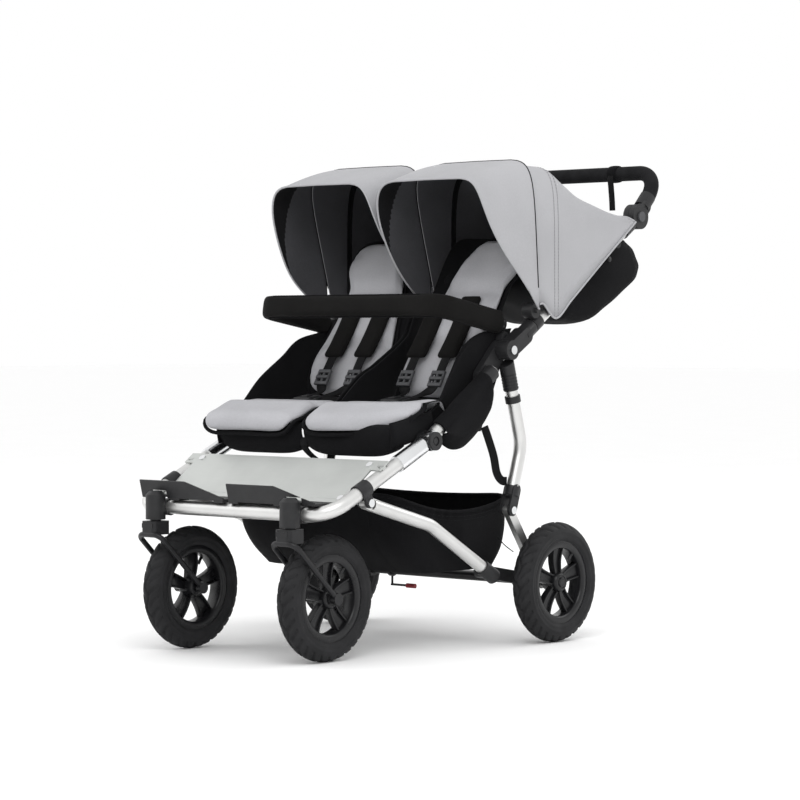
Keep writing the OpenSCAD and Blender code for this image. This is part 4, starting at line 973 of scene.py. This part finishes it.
def arch(crown, foot, inset, sides, bow, sag, lean):
    """One arch of a hood from the inner foot over the crown to the outer foot."""
    mid, half = (sides[0] + sides[1]) / 2, (sides[1] - sides[0]) / 2 - inset
    high = crown + (foot - crown).normalized() * inset
    row = []
    for k in range(ARCH_STEPS + 1):
        t = 2 * k / ARCH_STEPS - 1
        a = math.copysign(math.pi / 2 * (1 - (1 - abs(t)) ** ARCH_EASE), t)
        rise = max(0.0, math.cos(a)) ** (2 / ARCH_POWER) if abs(t) < 1 else 0.0
        x = mid + half * power(math.sin(a), 2 / ARCH_POWER) * (1 - 0.35 * sag * rise)
        p = swung(at(x, mix(foot, high, rise * (1 - sag * rise ** 4))), bow * 4 * rise * (1 - rise))
        outer_share = math.copysign(1, lean) * (x - mid) / half
        p.y -= abs(lean) * LEAN_PEAK * rise * (1 - rise) ** 3 * ramp(outer_share, 0.5, 0.4)
        row.append(p)
    return row


def hood_rows(front, inset, steps, sag, lean):
    """Arches all along a hood part, sagging a little between its bows."""
    stations = hood_stations(front)
    crowns = curve_points([s[0] for s in stations], steps)
    feet = curve_points([s[1] for s in stations], steps)
    sides = (HOOD_IN, HOOD_OUT) if front else (HOOD_IN + NEST, HOOD_OUT - NEST)
    last = len(crowns) - 1
    place = BOW_ROW * steps / last
    rows = []
    for i, (crown, foot) in enumerate(zip(crowns, feet)):
        t = i / last
        if front:
            dip = math.sin(math.pi * t)
        elif t < place:
            dip = math.sin(math.pi * t / place)
        else:
            dip = 0.8 * math.sin(math.pi * (t - place) / (1 - place))
        ahead = 1 - t if front else 0.0
        slack = sag * max(0.0, dip) ** 0.8
        rows.append(arch(crown, foot, inset, sides, HOOD_BOW * ahead, slack, lean * ahead))
    return rows


def crush(piece, front):
    """Gives a piece of a hood a mesh of its own."""
    if front:
        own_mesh(piece)
    else:
        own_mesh(piece)


def hood_part(side, s, front):
    """A hood part with its lining, edge binding, bow channels and stitching."""
    end = "front" if front else "rear"
    body = f"canopy_{side}" if front else "handle_frame"
    steps, sag = (16, 0.005) if front else (8, 0.012)
    rows, inner = (hood_rows(front, inset, steps, sag, HOOD_LEAN[side])
                   for inset in (HOOD_INSET, HOOD_INSET + CHANNEL_DEPTH))
    if s < 0:
        rows, inner = ([[Vector((-p.x, p.y, p.z)) for p in row] for row in part] for part in (rows, inner))
    skin = loft(f"hood_{end}_{side}", rows)
    finishes = ("grey_fabric", "lining", "dark_lining")
    for finish in finishes:
        skin.data.materials.append(MAT[finish])
    centre = sum((Vector(p) for p in rows[0]), Vector()) / len(rows[0])
    face = skin.data.polygons[len(skin.data.polygons) // 2 + ARCH_STEPS // 2]
    if face.normal.dot(face.center - centre) < 0:
        skin.data.flip_normals()
    thicken(skin, HOOD_SKIN, -1, inner=1)
    for face in skin.data.polygons:
        if front and face.material_index == 1 and in_visor(face.center):
            face.material_index = 2
    dress(skin, body, *finishes, stands_for=[f"canopy_front_{side}" if front else "canopy_rears"])
    trims = []
    for number, r in enumerate((0, -1)):
        hidden = number != (0 if front else 1)
        radius, finish = (0.0013, "pad_black") if hidden else (0.0020, "grey_fabric")
        trims.append((pipe(f"hood_{end}_binding_{number}_{side}", rows[r][1:-1], radius, 8), finish))
    for number, column in enumerate((0, -1)):
        hem = [row[column] for row in rows]
        trims.append((pipe(f"hood_{end}_hem_{number}_{side}", hem, 0.0022, 8), "grey_fabric"))
    bow = len(rows) - 2 if front else BOW_ROW * steps
    for number, r in enumerate(() if front else (bow - 1, bow + 1)):
        lifted = [p + (p - centre).normalized() * 0.0008 for p in rows[r]]
        trims.append((stitches(f"hood_{end}_stitch_{number}_{side}", lifted, *HOOD_STITCH), "thread"))
    channel = [inner[bow - 1], inner[bow], inner[min(bow + 1, len(inner) - 1)]]
    trims.append((thicken(loft(f"hood_{end}_channel_{side}", channel), 0.0012, 0), "pad_black"))
    if not front:
        trims.append((pipe(f"hood_{end}_cord_{side}", inner[bow - 1], 0.0016, 6), "pad_black"))
    crush(skin, front)
    for trim, finish in trims:
        dress(trim, body, finish)
        crush(trim, front)


def in_visor(p):
    """Whether a point of a front hood part lies in the black visor behind its front edge."""
    y, z = p.y - HOOD.y, p.z - HOOD.z
    return math.degrees(math.atan2(z, y)) > 105 + 72 * (1 - math.hypot(y, z) / HOOD_R)


for side, s in SIDES:
    hood_part(side, s, True)
    hood_part(side, s, False)


# Bumper sleeve


def rounded(points, radius, step):
    """A path through points with its corners rounded."""
    made = [Vector(points[0])]
    for before, p, after in zip(points, points[1:], points[2:]):
        a, b = (p + (q - p).normalized() * radius for q in (before, after))
        made += [a * (1 - t) ** 2 + p * 2 * t * (1 - t) + b * t * t for t in (k / 10 for k in range(11))]
    made.append(Vector(points[-1]))
    dense = []
    for a, b in zip(made, made[1:]):
        count = max(1, round((b - a).length / step))
        dense += [mix(a, b, k / count) for k in range(count)]
    return dense + [made[-1]]


def bolster(name, path, width, thickness, up, ends, corner):
    """A padded strip along a path, with rounded edges and ends."""
    path = [Vector(p) for p in path]
    reach = [0.0]
    for a, b in zip(path, path[1:]):
        reach.append(reach[-1] + (b - a).length)
    rows = []
    for (p, side, normal), s in zip(frames_along(path, up), reach):
        near = min(1.0, min(s, reach[-1] - s) / ends)
        swell = max(0.2, math.sqrt(1 - (1 - near) ** 2))
        row = []
        for a in circle(28):
            across = power(math.cos(a), 2 / corner) * width / 2 * (0.75 + 0.25 * swell)
            row.append(p + side * across + normal * power(math.sin(a), 2 / corner) * thickness / 2 * swell)
        rows.append(row)
    return loft(name, rows, ring=True, caps=True)


def shift(path, way):
    return [Vector(p) + way for p in path]


BUMPER_END = HINGE + Vector((0, 0.026, 0.054))
BUMPER_CORNER = HINGE + Vector((0, -0.180, 0.090))
BUMPER_UP = Vector((1, 0, 0)).cross(BUMPER_END - BUMPER_CORNER).normalized()
BUMPER_START = mix(BUMPER_END, BUMPER_CORNER, 0.06)
BUMPER_DEPTH, BUMPER_HEIGHT = 0.028, 0.047
BUMPER_BEND = 0.036
SEAM_LIFT = 0.0228
BUMPER_STITCH = (0.008, 0.005, 0.0005)
bumper_path = rounded([at(0.240, BUMPER_START), at(0.246, BUMPER_CORNER), at(-0.246, BUMPER_CORNER),
                       at(-0.240, BUMPER_START)], BUMPER_BEND, 0.008)
sleeve = bolster("bumper_padding", bumper_path, BUMPER_DEPTH, BUMPER_HEIGHT, BUMPER_UP, 0.010, 3.6)
puff(sleeve, 0.0025, 3.0, None)
dress(sleeve, "bumper", "bumper_fabric", stands_for=["bumper_sleeve"])
for number, lift in enumerate((SEAM_LIFT, -SEAM_LIFT)):
    seam_line, thread_line = (shift(bumper_path[2:-2], BUMPER_UP * lift * share) for share in (1, 1.06))
    dress(pipe(f"bumper_seam_{number}", seam_line, 0.0014, 8), "bumper", "pad_black")
    dress(stitches(f"bumper_stitch_{number}", thread_line, *BUMPER_STITCH), "bumper", "dark_thread")

# Harness and belts
BACK_NORMAL = Vector((0, -math.sin(BACK_SLOPE), math.cos(BACK_SLOPE)))
BUCKLE = mix(CREASE, SEAT_LIP, 0.42) + Vector((0, 0, 0.036))
BUCKLE_X = SEAT_X
STRAP_HALF = 0.042
SLEEVE_W, SLEEVE_T = 0.050, 0.012
SLEEVE_ROUTE = ((0.262, 0.0345), (0.23, 0.036), (0.19, 0.037), (0.15, 0.040), (0.110, 0.044))
WEB_W, WEB_T = 0.024, 0.0022
WEB_ROUTE = ((0.130, 0.042), (0.090, 0.045), (0.045, 0.047))
SLIDER_REACH, SLIDER_LIFT = 0.058, 0.0485
SLIDER_BARS = (((0.034, 0.008, 0.007), 0.014, 0.0), ((0.034, 0.007, 0.008), 0.0, 0.001),
               ((0.034, 0.008, 0.007), -0.014, 0.0), ((0.005, 0.034, 0.006), 0.0, 0.0))
SLIDER_RAIL = (0.004, 0.036, 0.006)
SHOULDERS = (("shoulder_straps_left",), ("shoulder_straps_right",))


def on_back(x, reach, lift):
    return at(x, along(CREASE, BACK_SLOPE, reach, lift))


def by_buckle(x, y, z):
    """A point measured from the lap buckle."""
    return at(BUCKLE_X + x, BUCKLE + Vector((0, y, z)))


def strap_sleeve(number, x):
    """Padded sleeve of one shoulder strap."""
    route = curve_points([on_back(x, reach, lift) for reach, lift in SLEEVE_ROUTE], 8)
    made = bolster(f"shoulder_sleeve_{number}_left", route, SLEEVE_W, SLEEVE_T, BACK_NORMAL, 0.008, 3.2)
    return puff(made, 0.0015, 3.0, None)


def strap_web(number, x, way):
    """Webbing of one shoulder strap from its sleeve down to the buckle."""
    route = [on_back(x, reach, lift) for reach, lift in WEB_ROUTE]
    route += [on_back(mix(x, BUCKLE_X, 0.35), 0.022, 0.052), by_buckle(way * 0.022, 0.010, 0.002)]
    return strap(f"shoulder_web_{number}_left", curve_points(route, 7), WEB_W, WEB_T, BACK_NORMAL)


def slider(number, x):
    """Ladder slider on a shoulder strap."""
    turn = Matrix.Rotation(BACK_SLOPE, 4, "X")
    parts = [rounded_box("slider", size, on_back(x, SLIDER_REACH + up, SLIDER_LIFT + lift), turn, 0.0015)
             for size, up, lift in SLIDER_BARS]
    parts += [rounded_box("slider", SLIDER_RAIL, on_back(x + side_x, SLIDER_REACH, SLIDER_LIFT), turn, 0.0012)
              for side_x in (-0.0155, 0.0155)]
    return join(f"strap_slider_{number}_left", parts)


for number, way in enumerate((-1, 1)):
    x = BACK_X + way * STRAP_HALF
    both_sides(lambda: strap_sleeve(number, x), BACKS, "bumper_fabric", SHOULDERS)
    both_sides(lambda: slider(number, x), BACKS, "grey_plastic", NONE)
    left_web = strap_web(number, x, way)
    right_web = mirrored(left_web, left_web.name.replace("left", "right"))
    for piece, back in zip((left_web, right_web), BACKS):
        piece.data.materials.clear()
        piece.data.materials.append(MAT["webbing"])
        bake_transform(piece)


# Each part of the buckle has its size, place and edge rounding
BUCKLE_PARTS = (((0.046, 0.040, 0.014), (0, 0, 0), (0.004, 3)),
                ((0.018, 0.018, 0.004), (0, -0.003, 0.0075), (0.0015,)),
                ((0.010, 0.026, 0.009), (0.026, 0.004, 0), (0.002,)),
                ((0.010, 0.026, 0.009), (-0.026, 0.004, 0), (0.002,)))
LAP_W, LAP_T = 0.025, 0.0024
CROTCH_W, CROTCH_T = 0.030, 0.0026
LAP_ROUTE = ((0.026, 0.002, 0), (0.055, 0.020, 0.001), (0.082, 0.052, 0.002), (0.096, 0.088, 0.004))
CROTCH_ROUTE = ((-0.010, -0.002), (-0.032, -0.006), (-0.050, -0.016), (-0.058, -0.026))
PATCH_SIZE = (0.058, 0.026, 0.0035)


def lap_buckle():
    """Press buckle on the crotch strap."""
    turn = Matrix.Rotation(SEAT_TILT + math.radians(12), 4, "X")
    return join("lap_buckle_left", [rounded_box("buckle", size, by_buckle(*place), turn, *edge)
                                    for size, place, edge in BUCKLE_PARTS])


def lap_web(number, way):
    route = curve_points([by_buckle(way * x, y, z) for x, y, z in LAP_ROUTE], 7)
    return strap(f"lap_web_{number}_left", route, LAP_W, LAP_T, Vector((0, -0.5, 1)))


def crotch_web():
    route = curve_points([by_buckle(0, y, z) for y, z in CROTCH_ROUTE], 6)
    return strap("crotch_web_left", route, CROTCH_W, CROTCH_T, Vector((0, -0.6, 1)))


def crotch_patch():
    turn = Matrix.Rotation(SEAT_TILT, 4, "X")
    return rounded_box("crotch_patch_left", PATCH_SIZE, by_buckle(0, -0.062, -0.021), turn, 0.0015)


BELTS = (("lap_belts",), ("lap_belts",))
both_sides(lap_buckle, SEATS, "black_plastic", BELTS)
both_sides(crotch_web, SEATS, "webbing", BELTS)
for number, way in enumerate((-1, 1)):
    both_sides(lambda: lap_web(number, way), SEATS, "webbing", BELTS)
both_sides(crotch_patch, SEATS, "tan", NONE)

# Backrests with their pouches
PANEL_W, PANEL_L = 0.208, 0.428
PANEL_LEVELS = ((0.0, 0.0), (0.5, -0.0006), (0.965, 0.0), (0.992, 0.0014), (1.0, 0.005), (0.992, 0.0086),
                (0.965, 0.010), (0.5, 0.0102), (0.0, 0.0102))
POUCH_TOP = ((0.300, -0.004), (0.350, -0.004))
POUCH_RING = spots((0.105, 0.722), (0.190, 0.768), (0.278, 0.812), (0.348, 0.848), (0.395, 0.838),
                   (0.428, 0.796), (0.420, 0.758), (0.318, 0.700), (0.236, 0.661), (0.166, 0.660),
                   (0.110, 0.676))
POUCH_HALF = 0.099
SNAP_X, SNAP_R = 0.2135, 0.006
SNAP_PLACES = ((0.457, -0.066), (0.270, -0.066))


def back_panel():
    """Stiff cloth-covered back of one seat."""
    place = local(at(BACK_X, along(CREASE, BACK_SLOPE, 0.216, -0.005)), BACK_SLOPE)
    outline = pad_outline(PANEL_W, PANEL_L, PANEL_CORNER, 120)
    rows = [[place @ Vector((p.x * share, p.y * share, height)) for p in outline]
            for share, height in PANEL_LEVELS]
    return loft("back_panel_left", rows, ring=True)


def closed_curve(points, steps):
    """A smooth closed curve through points."""
    wrapped = [points[-1]] + list(points) + [points[0], points[1]]
    made = curve_points(wrapped, steps)
    return made[steps:-2 * steps]


def pouch():
    """Soft bag behind a backrest, full at the middle and gathered at its ends."""
    ring = closed_curve([along(CREASE, BACK_SLOPE, *place) for place in POUCH_TOP] + POUCH_RING, 7)
    middle = sum(ring, Vector()) / len(ring)
    rows = []
    for i in range(31):
        u = 2 * i / 30 - 1
        full = (1 - abs(u) ** 5) ** 0.45 if abs(u) < 1 else 0.0
        row = []
        for a, p in zip(circle(len(ring)), ring):
            gather = 0.012 * abs(u) ** 4 * math.sin(14 * a)
            ruck = 1 + 0.016 * math.sin(5 * a + 3 * u) * math.sin(4 * u + a) + gather
            row.append(at(BACK_X + u * POUCH_HALF, mix(middle, p, (0.80 + 0.20 * full) * ruck)))
        rows.append(row)
    return loft("back_pouch_left", rows, ring=True, caps=True)


def snap(number, place):
    centre = at(SNAP_X, along(HINGE, UPRIGHT_SLOPE, *place))
    return pipe(f"pouch_snap_{number}_left", [centre + ACROSS * x for x in (0, 0.002, 0.0035)], SNAP_R, 20)


BACKRESTS = (("backrest_left",), ("backrest_right",))
both_sides(back_panel, BACKS, "pad_black", BACKRESTS)
both_sides(pouch, BACKS, "black_fabric", BACKRESTS)
for number, place in enumerate(SNAP_PLACES):
    both_sides(lambda: snap(number, place), BACKS, "black_plastic", NONE)
recline_rod = [on_back(x, 0, 0) for x in (0.016, 0.12, 0.222)]
both_sides(lambda: pipe("back_rod_left", recline_rod, 0.0036, 12), BACKS, "black_steel", NONE)

# Basket: an open cloth bag with a gathered elastic rim
BASKET_FRONT = spots((-0.424, 0.3208), (-0.4165, 0.280), (-0.405, 0.236), (-0.376, 0.196), (-0.328, 0.158))
BASKET_BACK = spots((-0.044, 0.3050), (-0.0400, 0.268), (-0.042, 0.231), (-0.0560, 0.1935), (-0.090, 0.158))
BASKET_X = 0.2335
BASKET_CORNER = 9
RIM_SAG, SIDE_DIP = 0.008, 0.036
FLOOR_RINGS = ((0.97, 0.001), (0.8, 0.0005), (0.5, 0.0), (0.2, 0.0), (0.0, 0.0))
BASKET_STITCH = (0.009, 0.006, 0.0005)
STITCH_RINGS = (3, 5)
SEAM_COLUMNS = (14, 58)
TIE_ROUTE = ((0.2350, -0.106, 0.221), (0.2420, -0.096, 0.206), (0.2490, -0.087, 0.196),
             (0.2560, -0.0795, 0.1885))
TIE_R = 0.0011


def basket_row(front, back, share, level):
    """One ring of the basket between its front and back points."""
    row = []
    middle = mix(front, back, 0.5)
    for a in circle(144):
        v, u = (share * place for place in rounded_square(a, BASKET_CORNER))
        gather = 0.0016 * math.sin(46 * a) * hump(level, 0.06, 0.09)
        gather += 0.003 * math.sin(5 * a + 2) * hump(level, 0.5, 0.4)
        width = (BASKET_X - 0.004 - 0.005 * level) * (1 - abs(gather) * 4)
        width += 0.5 * gather if abs(u) > 0.9 * share else 0
        p = mix(middle, front if v < 0 else back, abs(v))
        dip = RIM_SAG * (1 - u * u) + SIDE_DIP * (1 - v * v) * ramp(abs(u), 0.7, 0.25)
        row.append(Vector((width * u, p.y + gather * v, p.z - dip * hump(level, 0.0, 0.38))))
    return row


def basket_bag():
    """Rings of the basket from its rim down its sides, then across its floor."""
    fronts, backs = curve_points(BASKET_FRONT, 8), curve_points(BASKET_BACK, 8)
    last = len(fronts) - 1
    rows = [basket_row(f, b, 1.0, i / last) for i, (f, b) in enumerate(zip(fronts, backs))]
    for share, drop in FLOOR_RINGS:
        rows.append(shift(basket_row(fronts[-1], backs[-1], share, 1.0), Vector((0, 0, -drop))))
    return rows


def settle(piece):
    """Gives a piece of the basket a mesh of its own."""
    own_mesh(piece)


bag_rows = basket_bag()
bag = thicken(loft("basket_bag", bag_rows, ring=True), 0.0022, 0)
settle(dress(bag, "lower_chassis", "black_fabric", stands_for=["basket"]))
rim = pipe("basket_rim", bag_rows[0], 0.0040, 10, closed=True)
settle(dress(rim, "lower_chassis", "pad_black"))
for number, ring in enumerate(STITCH_RINGS):
    line = [p + Vector((math.copysign(0.0014, p.x), 0, 0)) for p in bag_rows[ring]]
    thread = stitches(f"basket_stitch_{number}", line, *BASKET_STITCH)
    settle(dress(thread, "lower_chassis", "dark_thread"))
wall_rows = bag_rows[:-len(FLOOR_RINGS)]
for side, s in SIDES:
    for number, k in enumerate(SEAM_COLUMNS):
        seam_path = [Vector((s * abs(row[k].x) + s * 0.001, row[k].y, row[k].z)) for row in wall_rows]
        seam = pipe(f"basket_seam_{number}_{side}", seam_path, 0.0016, 6, up=Vector((1, 0.2, 0)))
        settle(dress(seam, "lower_chassis", "pad_black"))
    tie_path = curve_points([spot(s * x, y, z) for x, y, z in TIE_ROUTE], 8)
    tie = dress(pipe(f"basket_tie_{side}", tie_path, TIE_R, 8), "lower_chassis", "webbing")

# Wrist strap on the handle, seat safety straps and the strap between the seats
CORNER = HUB + Vector((0, 0.0737, 0.0989))
WRAP_X, WRAP_W = 0.149, 0.022
WRAP_R, WRAP_SWELL, WRAP_T = 0.0160, 0.0016, 0.0016
TAIL_X, TAIL_T = 0.160, 0.0024
TAIL_ROUTE = ((-0.0165, 0.002), (-0.0178, -0.012), (-0.0150, -0.034), (-0.0120, -0.058), (-0.0105, -0.080))
SAFETY_ROUTE = ((0.215, -0.124, 0.446), (0.219, -0.115, 0.420), (0.226, -0.107, 0.385),
                (0.233, -0.106, 0.352), (0.240, -0.099, 0.336), (0.247, -0.090, 0.334))
TAIL_W, SAFETY_W, LINK_W = 0.016, 0.018, 0.020
LINK_ROUTE = spots((-0.436, 0.428), (-0.433, 0.408), (-0.415, 0.392), (-0.390, 0.378), (-0.372, 0.368))
wrap_rings = []
for k in range(9):
    r = WRAP_R + WRAP_SWELL * math.sin(math.pi * (0.12 + 0.76 * k / 8))
    middle = at(WRAP_X + WRAP_W * k / 8, CORNER)
    wrap_rings.append([middle + Vector((0, r * math.cos(a), r * math.sin(a))) for a in circle(36)])
wrist = thicken(loft("wrist_wrap", wrap_rings, ring=True), WRAP_T, 1)
tail = curve_points([at(TAIL_X, CORNER) + Vector((0, y, z)) for y, z in TAIL_ROUTE], 8)
wrist_tail = strap("wrist_tail", tail, TAIL_W, TAIL_T, Vector((0, -1, 0.1)))
for piece, finish in ((wrist, "pad_black"), (wrist_tail, "webbing")):
    dress(piece, "handle", finish, stands_for=["wrist_strap"])
for side, s in SIDES:
    route = [spot(s * x, y, z) for x, y, z in SAFETY_ROUTE]
    safety = strap(f"safety_strap_{side}", curve_points(route, 8), SAFETY_W, WEB_T, Vector((1, -0.5, 0.2)))
    dress(safety, "frame", "webbing")
    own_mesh(safety)
link = strap("centre_strap", curve_points(LINK_ROUTE, 8), LINK_W, WEB_T, Vector((0, -0.5, 1)))
dress(link, "frame", "webbing")

# Floor, light and camera
FLOOR_HALF = 40.0
CAMERA_PLACE = (3.76926, -4.29541, 0.63179)
CAMERA_AZIMUTH, CAMERA_PITCH = math.radians(41.263), math.radians(1.343)
CAMERA_LENS_MM, CAMERA_SENSOR_MM = 122.58, 36


def lamp(name, place, target, size, watts):
    data = bpy.data.lights.new(name, "AREA")
    data.size = size
    data.energy = watts
    made = new_piece(name, data)
    made.location = place
    made.rotation_euler = (Vector(target) - Vector(place)).to_track_quat("-Z", "Y").to_euler()


def studio():
    """A pale floor, a white sky and three soft lamps."""
    corners = [(FLOOR_HALF * x, FLOOR_HALF * y, 0) for x, y in ((-1, -1), (1, -1), (1, 1), (-1, 1))]
    floor = mesh_piece("floor", corners, [(0, 1, 2, 3)])
    made, tree, shader = new_material("floor", (0.985, 0.985, 0.985), 0.9)
    blend_colours(tree, noise(tree, 3, 2), (0.98, 0.98, 0.98), (0.99, 0.99, 0.99), shader)
    floor.data.materials.append(made)
    world = scene.world or bpy.data.worlds.new("studio")
    scene.world = world
    world.use_nodes = True
    sky = world.node_tree.nodes["Background"]
    sky.inputs["Color"].default_value = (1, 1, 1, 1)
    sky.inputs["Strength"].default_value = 1.0
    lamp("key", (2.2, -2.6, 3.4), (0, 0, 0.5), 2.4, 60)
    lamp("fill", (-3.0, -1.5, 2.2), (0, 0, 0.5), 3.0, 20)
    lamp("back", (1.0, 3.2, 3.0), (0, 0, 0.6), 2.4, 40)
    scene.view_settings.view_transform = "Standard"


def camera():
    """A camera at the photo's angle."""
    data = bpy.data.cameras.new("camera")
    data.lens = CAMERA_LENS_MM
    data.sensor_width = CAMERA_SENSOR_MM
    made = new_piece("camera", data)
    made.location = CAMERA_PLACE
    level = Vector((-math.sin(CAMERA_AZIMUTH), math.cos(CAMERA_AZIMUTH), 0)) * math.cos(CAMERA_PITCH)
    way = level - Vector((0, 0, math.sin(CAMERA_PITCH)))
    made.rotation_euler = way.to_track_quat("-Z", "Y").to_euler()
    scene.camera = made


studio()
camera()
